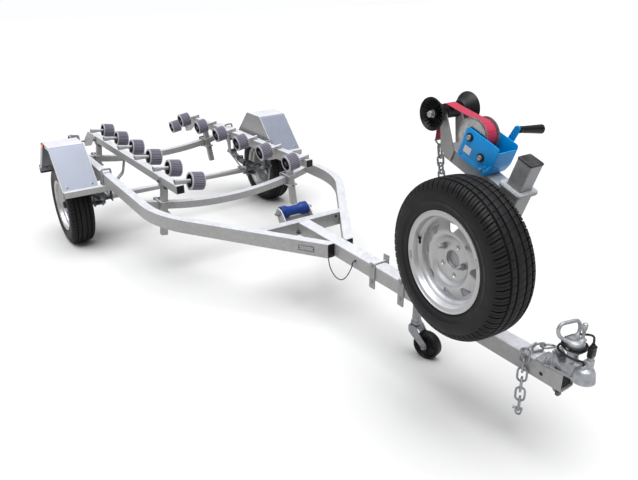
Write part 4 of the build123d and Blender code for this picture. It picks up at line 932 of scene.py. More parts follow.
def makeStrap():
    shape = Shape("strap", "strapStitch")
    half = winch["strap"] / 2
    layers = []
    for layer in range(winch["layers"]):
        inner = winch["core"] + layer * winch["layerPitch"]
        inset = 1.2 if layer % 2 else 0.0
        layers += [(inner + 0.25, half - 0.9 - inset), (inner + 0.7, half - inset), (inner + 2.3, half - inset),
                   (inner + 2.75, half - 0.9 - inset)]
    profile = [(radius, -along) for radius, along in layers] + [(radius, along) for radius, along in reversed(layers)]
    shape.turned(profile, onPost(winch["drum"][0], 0, winch["drum"][1], alongY), 72, loop=True)
    section = [(-half, 0), (-half + 1.2, 1), (-half + 5, 1.15), (-4, 1.0), (4, 1.0), (half - 5, 1.15), (half - 1.2, 1),
               (half, 0), (half - 1.2, -1), (4, -1), (-4, -1), (-half + 1.2, -1)]
    rings = []
    for point, normal in tangentPath():
        rings.append(shape.ring([(point.x + normal.x * lift * 1.3, y, point.y + normal.y * lift * 1.3)
                                 for y, lift in section], post))
    shape.skin(rings, ends=True)
    # doubled and stitched end that holds the hook's ring
    shape.finish = 1
    for up in winch["stitches"]:
        for y in range(-20, 21, 5):
            shape.block((1.0, 3.4, 1.0), onPost(-417.6 - (up - 632) * 0.16, y, up, rotated(-9, "Y")), 0.2)
    shape.piece("winchStrap", "trailer", 40.0, "webbing", ("winch_strap",))
    print("strap")


def ovalLink(shape, middle, long, wide, rod, way, side):
    # a welded link: two straights and two half turns, in the plane of way and side
    way = Vector(way).normalized()
    side = (Vector(side) - way * Vector(side).dot(way)).normalized()
    bend = [way * ((long - wide + wide * math.sin(turn)) / 2) + side * (wide / 2 * math.cos(turn))
            for turn in (math.pi * step / 8 for step in range(9))]
    shape.rod([Vector(middle) + step for step in bend] + [Vector(middle) - step for step in bend], rod, 10, closed=True)


def makeHook():
    shape = Shape("zinc", "bolt")
    ring = level.inverted() @ post @ Vector(winch["ring"])
    down = Vector((0.14, 0.05, -1)).normalized()
    # the strap's triangle, then a snap hook and two links
    shape.rod(rounded([ring + Vector((0, -24, 8)), ring + Vector((0, 24, 8)), ring + Vector((3, 0, -20))], 7, 5, True),
              3.4, 10, closed=True)
    shape.rod([ring + Vector((0, -24, 8)), ring + Vector((0, 24, 8))], 4.0, 10)
    hook = ring + Vector((3, 0, -18))
    ovalLink(shape, hook + down * 22, 54, 29, 4.3, down, (0.9, -0.3, 0))
    shape.rod([hook + down * 6 + Vector((-9, 3, 0)), hook + down * 30 + Vector((-10, 3, 0))], 5.2, 10)
    for drop, side in ((60, (0.2, 1, 0)), (90, (1, -0.2, 0)), (118, (0.2, 1, 0))):
        ovalLink(shape, hook + down * drop, 44, 26, 4.2, down, side)
    shape.piece("strapHook", "trailer", 40.0, "galvanised", ("strap_hook",))
    print("hook")


def makeCrank():
    shape = Shape("blue", "bolt", "zinc")
    middle, top = Vector(winch["pinion"]), Vector(winch["crankTop"])
    way = (top - middle).normalized()
    side = Vector((-way.y, way.x))
    turns = [math.pi * step / 10 for step in range(11)]
    lower = [middle + side * (15 * math.cos(turn)) - way * (15 * math.sin(turn)) for turn in turns]
    upper = [top - side * (12 * math.cos(turn)) + way * (12 * math.sin(turn)) for turn in turns]
    shape.prism(lower + upper, post @ towardsRight, -70, -63, 1.0)
    shape.piece("crankArm", "trailer", 32.0, "blue_paint", ("winch_crank",))
    grip = Shape("moulded", "zinc")
    place = at(*winch["gripFoot"], Vector(winch["gripWay"]).to_track_quat("Z", "Y").to_matrix().to_4x4())
    grip.turned([(0, 10.2), (9.0, 10.2), (12.0, 11), (12.8, 13), (12.8, 18), (12.0, 20), (12.4, 24), (13.6, 50),
                 (15.0, 80), (16.4, 106), (17.0, 112), (16.6, 116.0), (14.6, 118.2), (8.0, 118.2), (7.6, 115), (0, 115)],
                place, 36)
    grip.finish = 1
    grip.turned([(0, 112), (5.6, 112), (5.6, 117.2), (4.4, 118.6), (0, 118.6)], place, 20)
    grip.piece("crankGrip", "trailer", 32.0, "black_plastic", ("crank_grip",))
    print("crank")


def makeBowRoller():
    shape = Shape("black", "zinc")
    bow = winch["bow"]
    shape.turned([(7.3, -33), (25, -33), (27, -31.5), (27, -29), (25.8, -26.5), (25.8, 26.5), (27, 29), (27, 31.5),
                  (25, 33), (7.3, 33)], onPost(bow[0], 0, bow[1], alongY), 56, loop=True)
    for turn in (alongY, towardsRight):
        place = onPost(bow[0], 0, bow[1], turn)
        shape.turned([(7.3, 46), (30, 46), (32.2, 47.6), (33.0, 50), (36.0, 54), (36.2, 57), (40.6, 64), (40.8, 66.6),
                      (49.0, 76), (56.0, 85), (60.2, 91), (62.0, 93.4), (62.0, 95.2), (60.4, 96.2), (57.6, 96.2),
                      (56.4, 94.6), (51.0, 87.8), (42, 76.8), (33, 66.4), (24, 57.4), (17, 56), (17, 86.6),
                      (15.8, 87.6), (9.4, 87.6), (7.3, 86)], place, 72, loop=True)
        for rib in range(20):
            fin = place @ rotated(18 * rib + 5, "Z") @ rotated(90, "X")
            shape.prism([(16.4, 55.5), (24.5, 57), (34, 67), (52.6, 89.2), (48, 88.6), (16.4, 76)], fin, -1.2, 1.2)
    shape.piece("bowRoller", "bow_roller", 32.0, "black_rubber", ("bow_roller",))
    fixing = Shape("bolt", "zinc")
    for turn in (alongY, towardsRight):
        place = onPost(bow[0], 0, bow[1], turn)
        fixing.washer(place @ moved(0, 0, 88.4), 13.5, 2.4)
        fixing.nut(place @ moved(0, 0, 90.8), 17, 8, 5)
    fixing.piece("bowFixings", "trailer", 30.0)
    print("bow roller")


def makePostTrim():
    cap = Shape("cap")
    outline = square(67, 67, 8, steps=5)
    cap.prism(outline, post, 722, 729.5, 2.2)
    cap.prism([(x * 0.62, y * 0.62) for x, y in outline], post, 728, 730.6, 1.2)
    cap.piece("postCap", "trailer", 30.0, "black_plastic")
    collar = Shape("post")
    ring = rounded([(-47, -47, 0), (47, -47, 0), (47, 47, 0), (-47, 47, 0)], 11, 6, True)
    collar.rod([Vector((point.x, point.y, 615)) for point in ring], 5.6, 10, closed=True, place=post)
    collar.piece("sleeveCollar", "trailer", 40.0, "galvanised")
    bolts = Shape("bolt")
    for forward, y, up, turn in ((0, -40.6, 450, towardsRight), (0, 40.6, 450, alongY),
                                 (-41, 0, 360, rotated(-90, "Y")), (0, 40.6, 560, alongY)):
        bolts.bolt(onPost(forward, y, up, turn), 17, 6, 14)
    for x, z in winch["footBolts"]:
        bolts.bolt(at(x, -45.2, z, towardsRight), 17, 6, 13)
        bolts.bolt(at(x, 45.2, z, alongY), 17, 6, 13)
    bolts.piece("postBolts", "trailer", 30.0)
    print("post")


makeWinchFrame()
makeDrum()
makeStrap()
makeHook()
makeCrank()
makeBowRoller()
makePostTrim()

coupling = {
    "neck": (-52.0, 0.0),
    "dome": [(0, -8), (41, -8), (42, -5), (40.8, -2.4), (38.8, 3), (38.4, 14), (36.6, 26), (31.6, 37), (22.6, 44.8),
             (11, 49), (0, 50)],
    "cap": [(0, 84), (29, 84), (33.2, 86), (34.3, 90), (34.3, 112), (33.0, 119), (28.6, 124.6), (20, 128),
            (10, 129.6), (0, 130)],
    "handle": [(-76, -26, 121), (-90, -43, 136), (-95, -44, 162), (-92, -32, 178.5), (-76, 32, 178.5), (-71, 44, 162),
               (-68, 43, 136), (-66, 26, 121)],
    "handleRod": 6.9,
    "socket": 25.4,
    "floor": -4.8,
    "ribs": [(20, 26, -4, 20), (4, 42, -4.6, 25), (-14, 50, -4.6, 27), (-34, 54, -4.6, 28), (-62, 44, -4.6, 27),
             (-88, 26, -4.6, 25), (-111, 16, -4.6, 23)],    # place along, top, bottom, half width
    "knob": [(0, 118), (7, 118), (6.2, 135), (5.6, 150), (6.4, 160), (8.2, 168), (9.8, 176), (10, 182),
             (8.6, 187.6), (5, 190.6), (0, 191)],
    "clip": [(-84, -14, 128), (-60, -22, 134), (-44, -12, 136), (-40, 6, 134), (-42, 18, 140)],
    "bolts": [(-80.0, -20.0), (-80.0, 20.0)],
    "rivets": [(-140, 0, 0), (-24, -30, -3)],
    "screws": (20, 130, 245),    # round the cap, degrees
    "sideHole": (-134.0, 37.4, -48.0),
    "voxel": 0.0015,
    "plug": (9.0, 6.0, 13.0),
}


def castPiece(shape, name, smooth, replaced, cutter=None):
    # runs the parts into one casting: remeshed, then smoothed until its corners are soft
    made = shape.piece(name, "trailer", 60.0, "cast_zinc", replaced)
    merge = made.modifiers.new("merge", "REMESH")
    merge.mode = "VOXEL"
    merge.voxel_size = coupling["voxel"]
    soften = made.modifiers.new("soften", "SMOOTH")
    soften.factor = 0.5
    soften.iterations = smooth
    applied(made, 50)
    if cutter:
        carve(made, cutter, 50)


def makeCoupling():
    body = Shape("cast")
    body.turned(coupling["dome"], level, 64)
    rings = []
    for x, high, low, wide in coupling["ribs"]:
        section = [(-wide, low), (-wide * 0.98, high * 0.35), (-wide * 0.78, high * 0.78), (-wide * 0.4, high * 0.97),
                   (wide * 0.4, high * 0.97), (wide * 0.78, high * 0.78), (wide * 0.98, high * 0.35), (wide, low)]
        rings.append(body.ring([(x, y, z) for y, z in section], level))
    body.skin(rings, ends=True)
    body.prism([(-167, -36), (-165, -38), (-60, -38), (-10, -35), (-10, 35), (-60, 38), (-165, 38), (-167, 36)],
               level, coupling["floor"], 1.6)
    body.turned([(0, 10), (24, 10), (21, 44), (20, 50), (20, 86), (0, 86)], at(*coupling["neck"], 0), 48)
    wall = square(66.6, 62, 9, (28.7, 0), 5)
    body.prism(wall, at(0, 0, 0) @ Matrix(((0, 0, 1, -112), (0, 1, 0, 0), (1, 0, 0, 0), (0, 0, 0, 1))), 0, 8)
    for y in (-22, 22):
        body.prism([(-106, -3), (-106, 50), (-96, 44), (-70, 10), (-66, -3)], at(0, y, 0, towardsRight), -3.4, 3.4)
    body.turned([(0, 22), (9.4, 22), (9, 48), (7, 57), (0, 57)], at(2, -15, 0), 24)
    body.prism([(-6, -12), (17, -12), (19, 0), (18, 22), (4, 24), (-4, 16)], level, 20, 76, 4)
    socket = Shape()
    ball = coupling["socket"]
    turns = [math.radians(turn) for turn in range(10, 90, 10)]
    socket.turned([(0, -16), (25.6, -16), (25.6, -9), (ball, 0)]
                  + [(ball * math.cos(turn), ball * math.sin(turn)) for turn in turns] + [(0, ball)], level, 48)
    castPiece(body, "couplingCasting", 6, ("coupling_body",), socket)

    lever = Shape("cast")
    lever.turned(coupling["cap"], at(*coupling["neck"], 0), 64)
    for y in (-26, 26):
        lever.block((22, 15, 14), at(-66, y, 122), 3)
    lever.block((20, 24, 10), at(-36, 16, 126), 3)
    lever.rod(rounded(coupling["handle"], 14, 7), coupling["handleRod"], 16)
    lever.turned(coupling["knob"], at(-38, 18, 0), 32)
    castPiece(lever, "couplingLever", 4, ("coupling_lever",))

    trim = Shape("bolt", "dull", "zinc", "black")
    for x, y in coupling["bolts"]:
        trim.finish = 1
        trim.washer(at(x, y, 1.4), 14.5, 2.4)
        trim.finish = 0
        trim.turned([(0, 3.6), (10.6, 3.6), (10.6, 8.4), (9.2, 10.2), (0, 10.2)], at(x, y, 0), 6)
        trim.nut(at(x, y, -80.2, rotated(180, "X")), 19, 10, 6)
    for spot in coupling["rivets"]:
        trim.turned([(0, 1.4), (7.5, 1.4), (7.2, 4.2), (5, 5.8), (0, 6.4)], at(*spot), 20)
    trim.finish = 2
    # small screws, clip and pin on the lever's cap
    neckX = coupling["neck"][0]
    for turn in coupling["screws"]:
        x, y = 27 * math.cos(math.radians(turn)), 27 * math.sin(math.radians(turn))
        trim.turned([(0, 124), (3.6, 124), (3.6, 128.4), (2.6, 129.6), (0, 129.6)], at(neckX + x, y, 0), 6)
    trim.rod(rounded(coupling["clip"], 8, 5), 1.6, 8)
    trim.turned([(0, 0), (6.4, 0), (6.4, 6), (4.4, 8), (0, 8)], at(neckX, -34, 106, towardsRight), 16)
    # black ribbed plate that darkens the drawbar's open end, and the lip under it
    trim.finish = 3
    trim.block((62, 62, 5), at(-64, 0, -42.5, alongX), 3)
    for z in (-60, -50, -40, -30):
        trim.block((3, 56, 3), at(-61, 0, z), 1)
    trim.finish = 1
    trim.block((15, 20, 20), at(-64, -26, -90), 2.5)
    trim.block((16, 44, 5), at(-62, 0, -82.8), 1.5)
    # painted shade: black discs stand for the hole through the drawbar's sides, each with a ring round it
    x, y, z = coupling["sideHole"]
    for way, turn in ((-1, towardsRight), (1, alongY)):
        trim.finish = 3
        trim.disc(7.4, 0.0, 0.5, at(x, way * y, z, turn), 24)
        trim.finish = 2
        trim.turned([(7.4, 0), (8.4, 0), (8.4, 0.9), (7.8, 1.2), (7.4, 0.9)], at(x, way * y, z, turn), 24, loop=True)
    trim.piece("couplingTrim", "trailer", 32.0)
    print("coupling")


def makePlug():
    shape = Shape("moulded", "zinc")
    place = at(*coupling["plug"])

    def layer(wide, deep, low, high, bevel):
        shape.prism([(u * wide, v * deep) for u, v in square(18, 30, 5)], place, low, high, bevel)

    layer(1, 1, 76, 112, 1.2)
    layer(1.06, 1.04, 108, 115, 1.0)
    for low in (82, 88, 94, 100):
        layer(1.05, 1.03, low, low + 2.4, 0.8)
    layer(0.78, 0.66, 112, 121, 1.0)
    shape.turned([(0, 118), (7.4, 118), (7.0, 122), (5.4, 127.5), (4.2, 129), (0, 129)], place, 24)
    for low in (119, 122, 125):
        radius = 6.9 - (low - 119) * 0.22
        shape.turned([(4, low), (radius, low), (radius, low + 1.4), (4, low + 1.4)], place, 24, loop=True)
    shape.finish = 1
    layer(0.80, 0.88, 56, 76.4, 1.4)
    for low in (59, 63, 67, 71):
        layer(0.84, 0.91, low, low + 2.0, 0.7)
    return shape.piece("cablePlug", "trailer", 34.0, "black_plastic", ("trailer_plug",))


chain = {
    "size": (58.0, 33.0, 4.1),   # length, width, half thickness
    "broad": (1.0, 0.59, 0.0),
    "edge": (-0.59, 1.0, 0.0),
    "top": [((-176, 44, 14), (-0.25, -1, 0.15), (1, -0.25, 0.25)), ((-188, 6, 17), (-0.2, -1, 0.1), (0.1, 0.2, 1)),
            ((-200, -32, 27), (-0.1, -1, -0.22), (0.75, -0.2, 0.9))],
    "hanging": [(-201, -51, -2), (-201, -51.5, -43), (-200, -51, -85), (-198, -51, -127), (-196, -51, -169),
                (-194, -51, -211)],
    "shackle": (-193, -51, -234),
    "bow": [(9, 6), (10, -14), (6, -25), (-6, -25), (-10, -14), (-9, 6)],    # shackle's rod, across and up
    "bolt": (-122, -34, 1.2),
}


def makeChain():
    shape = Shape("zinc")
    for middle, way, side in chain["top"]:
        ovalLink(shape, middle, *chain["size"], way, side)
    for number, middle in enumerate(chain["hanging"]):
        ovalLink(shape, middle, *chain["size"], (0.03, 0.0, -1), chain["edge" if number % 2 else "broad"])
    # shackle: a bow, its pin and the pin's head
    low, across = Vector(chain["shackle"]), Vector(chain["broad"]).normalized()
    shape.rod(rounded([low + across * out + Vector((0, 0, up)) for out, up in chain["bow"]], 8, 5), 3.9, 12)
    for start, end, radius in ((-19, 15, 4.2), (-22, -17, 6.2)):
        shape.rod([low + across * out + Vector((0, 0, 2)) for out in (start, end)], radius, 12)
    shape.piece("safetyChain", "trailer", 45.0, "galvanised", ("safety_chain",))
    fixing = Shape("bolt")
    fixing.bolt(at(*chain["bolt"]), 17, 6, 15)
    fixing.piece("chainBolt", "trailer", 30.0)
    print("chain")


makeCoupling()
cablePlug = makePlug()
makeChain()

fittings = {
    "beam": (-2363.0, 451.0, 85.0),     # middle of a beam's front end
    "railEnd": -1395.0,
    "stays": [-3229.0, -3917.0],        # the guards' U bolts
    "railSide": 635.0,
    "posts": [(-2631.0, -42.0, 84.0, 487.0, -283.0), (-4017.0, -80.0, 73.0, 497.0, -300.0)],
    "clamps": [(-1083.0, -1), (-880.0, -1), (-1083.0, 1)],
    "hangers": [-3281.0, -3873.0],
    "plate": (-1494.1, -144.1, -43.5),
    "slant": 33.2,               # of the rail's side at the plate, degrees
    "tailBolts": [(-4362.0, -52.0), (-4756.0, -134.0)],
    "tailSides": (542.2, 425.6),        # faces of the swing arm, outside and inside
    "bow": [(-30.5, -112.0), (-30.5, 20.0), (30.5, 20.0), (30.5, -112.0)],     # a U bolt's rod over the rail
    "bowRod": 7.1,
    "clampHeights": (0.2, -85.2),
    "jockeyBolts": [(-926, 0), (-926, -82), (-854, 0), (-854, -82)],
    "keelBolt": 94.2,
    "crossBar": -1731.0,         # its front face
}
facingFront = Matrix(((0, 0, 1, 0), (1, 0, 0, 0), (0, 1, 0, 0), (0, 0, 0, 1)))


def outward(way):
    return alongY if way > 0 else towardsRight


def makeEndCaps():
    shape = Shape("moulded")
    x, y, z = fittings["beam"]
    for way in (1, -1):
        end = at(x, way * y, z, rotated(-1.7, "Y")) @ facingFront
        shape.prism(square(45, 45, 7), end, -1, 1.6, 0.5)
        shape.prism(square(34, 34, 5), end, 1.4, 2.6, 0.5)
        end = at(fittings["railEnd"], 0, 0) @ facingFront
        shape.prism(square(39.5, 73, 7, (way * 58.4, -42.5)), end, -1, 3.0, 0.9)
        shape.prism(square(28, 60, 5, (way * 58.4, -42.5)), end, 2.6, 4.2, 0.6)
    shape.piece("endCaps", "trailer", 35.0, "black_rubber")


def makeBeamFittings():
    shape = Shape("bolt", "dull", "members", "black")
    beamY = fittings["beam"][1]
    for way in (1, -1):
        # straps over the rollers' pipes, washers and pins at the pipes' ends
        for x in roller["spots"]:
            top = beamTop(x)
            shape.finish = 2
            shape.block((30, 66, 5), at(x, way * 424, top + 3.4), 1.4)
            place = at(x, way * roller["side"], rollerHeight(x), rotated(way * roller["tilt"], "X")) @ outward(way)
            shape.finish = 1
            for along in (-36.6, 34.4):
                shape.turned([(12.2, along), (17.5, along), (17.5, along + 1.8), (12.2, along + 1.8)],
                             place, 28, loop=True)
            shape.disc(12.0, -40.5, -36.8, place, 28)
            shape.rod([place @ Vector((0, -16, -38.8)) * 1000, place @ Vector((0, 16, -38.8)) * 1000], 1.7, 8,
                      place=Matrix.Scale(0.001, 4))
            shape.finish = 3
            shape.disc(8.4, 136.0, 136.8, place, 24)
        # posts: bolt at the top, saddle beside it, nuts of the square U bolts
        for x, endTop, sag, footY, footZ in fittings["posts"]:
            top = beamTop(x) - 55.5
            shape.finish = 1
            shape.bolt(at(x + 20, way * beamY, top - 17, alongX), 19, 6, 13)
            shape.bolt(at(x + 2, way * 476.5, top + 24, outward(way)), 19, 6, 13)
            shape.finish = 2
            shape.block((36, 5, 66), at(x, way * 479, top + 22), 1.6)
            shape.block((46, 7, 14), at(x - 3, way * 474, top - 6), 1.8)
            clampZ = endTop - sag * (1 - (beamY / 610) ** 2) - 22.5
            clampY = way * (footY + (beamY - footY) * (clampZ - footZ) / (top - footZ))
            lean = math.degrees(math.atan2(way * (beamY - footY), top - footZ))
            shape.finish = 0
            for height in (-34.5, 34.5):
                for side in (-26, 26):
                    shape.nut(at(x, clampY, clampZ, rotated(-lean, "X")) @ moved(-79, side, height)
                              @ rotated(-90, "Y"), 17, 9, 5)
            shape.finish = 1
            shape.turned([(0, 0), (7, 0), (7, 6), (5, 8), (0, 8)], at(x + 30.4, clampY, clampZ - 34.5, alongX), 6)
            shape.finish = 3
            shape.prism(square(32, 32, 4), at(x, way * footY, footZ, rotated(180, "X")), 0, 1.2, 0.4)
        # swing arm behind the beam's tail
        shape.finish = 0
        (x, z), (tailX, tailZ) = fittings["tailBolts"]
        outside, inside = fittings["tailSides"]
        shape.bolt(at(x, way * outside, z, outward(way)), 24, 8, 17)
        shape.bolt(at(x, way * inside, z, outward(-way)), 24, 0, 17)
        shape.bolt(at(tailX, way * outside, tailZ, outward(way)), 24, 8, 17)
    shape.piece("beamFittings", "trailer", 35.0, "grey_metal")


def makeRailFittings():
    shape = Shape("bolt", "dull", "members", "plate", "black")
    for way in (1, -1):
        side = way * fittings["railSide"]
        for x in fittings["stays"]:
            shape.finish = 0
            shape.rod(rounded([(x, side + across, z) for across, z in fittings["bow"]], 14, 6), fittings["bowRod"], 16)
            for across in (-30, 30):
                shape.finish = 0
                shape.nut(at(x, side + across, -92.6, rotated(180, "X")), 17, 9, 0)
                shape.finish = 1
                for step in range(5):
                    shape.turned([(4.6, 0), (5.6, 1.2), (4.6, 2.4)], at(x, side + across, -104.5 - step * 2.4), 14)
        # springs: pins of the hangers, nuts under the axle's plate, clips round the leaves
        shape.finish = 0
        for x in fittings["hangers"]:
            for across in (-1, 1):
                shape.bolt(at(x, side + across * 29.6, -201, outward(across)), 22, 7, 15)
        axle = wheels["axle"][0]
        for x in (axle - 29.5, axle + 29.5):
            for across in (-29.5, 29.5):
                shape.nut(at(x, side + across, -330, rotated(180, "X")), 20, 11, 6)
        shape.finish = 1
        for x in (axle - 150, axle + 150):
            for across in (-1, 1):
                shape.block((24, 4, 34), at(x, side + across * 25, -238), 1.2)
            shape.block((24, 54, 4), at(x, side, -222), 1.2)
        shape.block((66, 52, 6), at(axle, side, -236), 1.6)
        shape.turned([(0, 0), (9, 0), (9, 8), (6, 11), (0, 11)], at(axle, side, -234), 16)
        # brake-side plate and bumper above the axle
        shape.block((46, 40, 22), at(axle, side, -97), 5)
    # clamps on the drawbar
    for x, way in fittings["clamps"]:
        for z in fittings["clampHeights"]:
            shape.finish = 0
            shape.washer(at(x, way * 44.8, z, outward(way)), 10.5, 2)
            shape.nut(at(x, way * 46.8, z, outward(way)), 16, 6.5, 0)
    # winch post's foot and the jockey wheel's plate
    for way in (1, -1):
        for x, z in winch["footBolts"]:
            shape.bolt(at(x, way * (41.2 if z < 0 else 45.1), z, outward(way)), 19, 6.4, 13)
    for x, z in fittings["jockeyBolts"]:
        shape.bolt(at(x, 45.6, z, alongY), 17, 5, 12)
    # keel roller's pin, its cradle's bolts and the plate below it, painted bright with the lighter plate zinc
    x, y, z = keelRoller["place"]
    for way in (1, -1):
        shape.bolt(at(x, way * fittings["keelBolt"], z, outward(way)), 26, 8, 17)
    shape.finish = 3
    shape.block((3, 168, 40), at(-1826.5, 0, -22), 1.2)
    shape.finish = 1
    for y in (-50, 50):
        shape.bolt(at(fittings["crossBar"], y + 8, -60, alongX), 17, 5, 12)
    # painted shade: a black disc stands for the hole in the cross bar's front; then the grommet of the wire and the
    # blank plate
    shape.finish = 4
    shape.disc(7, 0, 0.6, at(fittings["crossBar"], 212, -25, alongX), 24)
    shape.turned([(2.7, 0), (6.4, 0), (6.4, 1.6), (5.2, 3.0), (2.7, 3.4)],
                 at(-1221, -37.5, -36, towardsRight), 24, loop=True)
    blank = at(*fittings["plate"], rotated(fittings["slant"], "Z")) @ towardsRight
    shape.finish = 1
    shape.prism(square(88, 30, 3), blank, 0, 1.2, 0.3)
    shape.finish = 2
    shape.prism(square(81, 23, 2), blank, 1.0, 2.0, 0.3)
    shape.finish = 1
    for x in (-38, 38):
        shape.turned([(0, 1.4), (3, 1.4), (2.4, 3.0), (0, 3.4)], blank @ moved(x, 0, 0), 14)
    shape.piece("railFittings", "trailer", 35.0, "grey_metal")


makeEndCaps()
makeBeamFittings()
makeRailFittings()
print("fittings")

guard = {
    "outline": [(-3237.0, -88.0), (-3467.0, 156.0), (-3677.0, 156.0), (-3907.0, -88.0)],
    "hem": [(-3267, -88), (-3481, 134), (-3663, 134), (-3877, -88)],
    "middle": -3572.0,
    "inner": 695.0,
    "outer": 930.0,
    "wall": 3.0,
    "bolts": [(-3256, 46.7), (-3888, -46.7)],    # place and lean
    "boltSides": (730, 895),
    "crown": 98.0,               # half length of its flat top
    "rearLamp": (-3957.2, 858.0, -112.0),
    "lampBracket": -3925.0,
    "marker": (-3635.0, 930.0, 142.0),
}


def makeGuards():
    for side, way in sides:
        shape = Shape("guards", "plate", "bolt")
        upright = at(0, 0, 0, towardsRight)
        inner, outer, middle, wall = way * guard["inner"], way * guard["outer"], guard["middle"], way * guard["wall"]
        line = outlined(guard["outline"], 14, closed=False)
        inside = [(x + (middle - x) * 0.0135, z - guard["wall"]) if z > -60
                  else (x + math.copysign(4.3, middle - x), z) for x, z in line]
        shape.prism(line + inside[::-1], upright, *sorted((-inner, -outer)))
        # painted light: faces of the flat top take the lighter plate zinc
        for face in shape.mesh.faces:
            spot = level.inverted() @ face.calc_center_median()
            if abs(spot.x - middle) < guard["crown"] and spot.z > 150:
                face.material_index = 1
        # closed inner side, hemmed lip on the outer side
        shape.finish = 1
        shape.prism(line, upright, *sorted((-inner, -inner - wall)))
        shape.prism(line + guard["hem"][::-1], upright, *sorted((-outer, -outer + wall)))
        for y in (outer - way * 1.2, inner + way * 1.2):
            shape.rod([(x, y, z) for x, z in line], 2.6, 8)
        shape.rod([(x, outer - way * 3, z) for x, z in outlined(guard["hem"], 14, closed=False)], 2.4, 8)
        for x, z in (line[0], line[-1]):
            shape.rod([(x, inner, z), (x, outer, z)], 2.6, 8)
        shape.finish = 2
        for y in guard["boltSides"]:
            for x, lean in guard["bolts"]:
                spot = at(x, way * y, -67.8, rotated(lean, "Y"))
                shape.washer(spot, 9, 1.6)
                shape.turned([(0, 1), (6.5, 1), (6, 4), (3.4, 5.6), (0, 5.8)], spot, 18)
        shape.piece(side + "Guard", "trailer", 32.0, "galvanised", ("mudguards",))


def makeLamps():
    for side, way in sides:
        shape = Shape("moulded", "red", "amber", "dull")
        x, y, z = guard["rearLamp"]
        rear = at(x, way * y, z, facingFront)
        shape.prism(square(140, 60, 8), rear, -4, 18, 1.5)
        shape.prism(square(112, 40, 6), rear, 16, 22, 1.5)
        shape.finish = 1
        shape.prism(square(134, 54, 7), rear, -17.6, -3.6, 3.5)
        shape.finish = 3
        x = guard["lampBracket"]
        shape.block((34, 60, 5), at(x, way * y, -90), 1.4)
        for across in (22, -22):
            shape.bolt(at(x + 3, way * (y + across), -92.6, rotated(180, "X")), 13, 4, 9)
        x, y, z = guard["marker"]
        marker = at(x, way * y, z, outward(way))
        shape.finish = 0
        shape.prism(square(66, 22, 5), marker, 0, 3.4, 0.8)
        shape.finish = 2
        shape.prism(square(60, 18, 5), marker, 2.8, 11.6, 3.0)
        shape.piece(side + "Lamps", "trailer", 35.0, "lamp", ("lamps",))


jockey = {
    "stem": (-890.0, 76.0),
    "height": -350.345,          # middle of its wheel
    "pinHeight": -42.0,
    "gripBack": 92.0,
    "grip": [(0, 288), (11, 288), (12.4, 291), (13, 300), (13.6, 318), (13.2, 332), (11, 338), (6, 341), (0, 341.4)],
    "capOutline": [(0, 270), (28, 270), (29, 272), (29, 279), (27, 283), (15, 286), (0, 286.4)],
    "trail": 67.0,
    "heading": 15.0,
    "tread": [(7.5, -22), (16, -22), (17.4, -20), (17.4, -15), (22, -11), (45, -11), (49, -13), (52, -19),
              (56, -22.6), (61, -22), (64.6, -19.4), (66, -16.6), (66, -5), (65.2, -4), (65.2, -2)],
    "cheek": [(-24, 86), (0, 93), (20, 86), (33, 62), (54, 40), (79, 13), (80, -6), (72, -13), (58, -11), (34, 8),
              (4, 32), (-22, 56)],
}


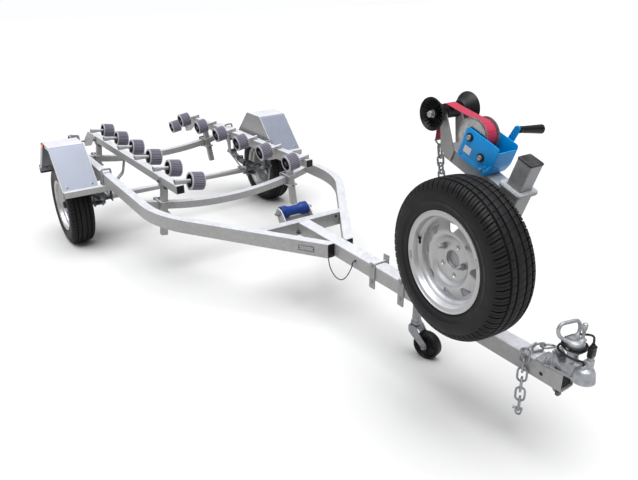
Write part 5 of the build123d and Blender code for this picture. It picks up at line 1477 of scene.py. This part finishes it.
def makeJockey():
    x, y = jockey["stem"]
    way = math.radians(jockey["heading"])
    upright = at(x, y, 0)
    swivel = at(x, y, jockey["height"])
    plane = swivel @ Matrix(((math.cos(way), 0, math.sin(way), 0), (math.sin(way), 0, -math.cos(way), 0),
                             (0, 1, 0, 0), (0, 0, 0, 1)))
    hinge = plane @ moved(jockey["trail"], 0, 0)
    wheel = Shape("black", "zinc")
    half = jockey["tread"]
    wheel.turned(half + [(radius, -along) for radius, along in reversed(half)], hinge, 72, loop=True)
    for step in range(5):
        wheel.block((26, 5, 30), hinge @ rotated(72 * step, "Z") @ moved(33, 0, 0), 1.4)
    wheel.piece("jockeyTyre", "jockey_wheel", 35.0, "black_rubber", ("jockey_wheel",))

    fork = Shape("zinc", "bolt")
    cheek = outlined(jockey["cheek"], 9)
    for low in (-32, 28):
        fork.prism(cheek, plane, low, low + 4, 0.8)
    fork.block((50, 6, 60), plane @ moved(-1, 82.5, 0), 1.6)
    fork.turned([(0, 74), (26, 74), (29, 76), (30, 79), (30, 83), (27.5, 85.8), (0, 85.8)], swivel, 40)
    fork.disc(7, -32.4, 32.4, hinge, 24)
    fork.finish = 1
    fork.washer(hinge @ moved(0, 0, 32), 13, 2.2)
    fork.nut(hinge @ moved(0, 0, 34), 19, 9, 5.5)
    fork.turned([(0, -31), (9, -31), (10.6, -33), (10.6, -38), (8.6, -40.4), (0, -40.4)], hinge, 24)
    fork.piece("jockeyFork", "jockey_caster", 35.0, "galvanised", ("jockey_fork",))

    stem = Shape("zinc")
    low = jockey["height"] + 86.5
    stem.turned([(0, low), (20, low), (21, low + 1.2), (21, 128), (19.6, 130), (0, 130)], upright, 48)
    stem.turned([(21, low + 2), (24.6, low + 3), (25.2, low + 5), (25.2, low + 18), (24.2, low + 20), (21, low + 21)],
                upright, 48, loop=True)
    stem.rod([(x + 20, y - 8, low + 11), (x + 27.5, y - 11, low + 11)], 4, 10)
    stem.piece("jockeyTube", "jockey_leg", 35.0, "galvanised", ("jockey_stem",))

    crank = Shape("zinc", "moulded", "bolt")
    crank.turned(jockey["capOutline"], upright, 48)
    back = x - jockey["gripBack"]
    bar = [(x + 12, y, 290), (x - 40, y, 288), (back + 8, y, 282), (back, y, 284), (back, y, 296)]
    crank.rod(rounded(bar, 9, 5), 8.4, 14, flat=0.62)
    crank.finish = 1
    crank.turned(jockey["grip"], at(back, y, 0), 36)
    crank.finish = 2
    crank.nut(at(x, y, 294), 21, 9, 5, domed=True)
    crank.piece("jockeyHandle", "trailer", 35.0, "galvanised", ("jockey_crank",))

    trim = Shape("zinc", "bolt", "moulded")
    for z in (-148, 262):
        trim.turned([(25.6, z), (28.4, z + 1), (28.4, z + 9), (25.6, z + 10)], upright, 48, loop=True)
    trim.finish = 1
    pin = jockey["pinHeight"]
    trim.rod([(x - 40, y - 6, pin), (x + 58, y - 6, pin)], 5, 12)
    trim.nut(at(x - 34, y - 6, pin, rotated(-90, "Y")), 17, 8, 4)
    trim.finish = 0
    trim.rod(rounded([(x + 52, y - 6, pin), (x + 62, y + 2, pin - 2), (x + 62, y + 44, pin - 18)], 8, 4), 5.6, 12)
    trim.finish = 2
    trim.turned([(0, 0), (8, 0), (10, 8), (10, 20), (7, 26), (0, 28)], at(x + 62, y + 42, pin - 16, alongY), 20)
    trim.piece("jockeyClamp", "trailer", 35.0, "galvanised")
    print("jockey wheel")


makeGuards()
makeLamps()
makeJockey()

finishes = {
    "frame": ["drawbar", "side_rails", "roller_beams", "guard_stays"],
    "members": ["axle_beam", "cross_members", "beam_posts", "drawbar_clamps", "axle_stays", "bow_roller_bracket",
                "roller_axles", "jockey_bracket", "spare_carrier"],
    # the keel roller's cradle takes the lighter plate zinc as painted light
    "plate": ["keel_roller_cradle"],
    "post": ["winch_post", "winch_sleeve", "winch_arm"],
    "running": ["leaf_springs"],
}


def dressFrame():
    for finish, names in finishes.items():
        for name in names:
            node = nodes[name]
            node.data.materials.clear()
            node.data.materials.append(looks[finish])
    print("frame")


dressFrame()

# the cords' first points and lengths are worked out once more
start = level @ Vector(plugCable["start"][0])
lineLength(cable)
level @ Vector(railWire["points"][0])
lineLength(wire)
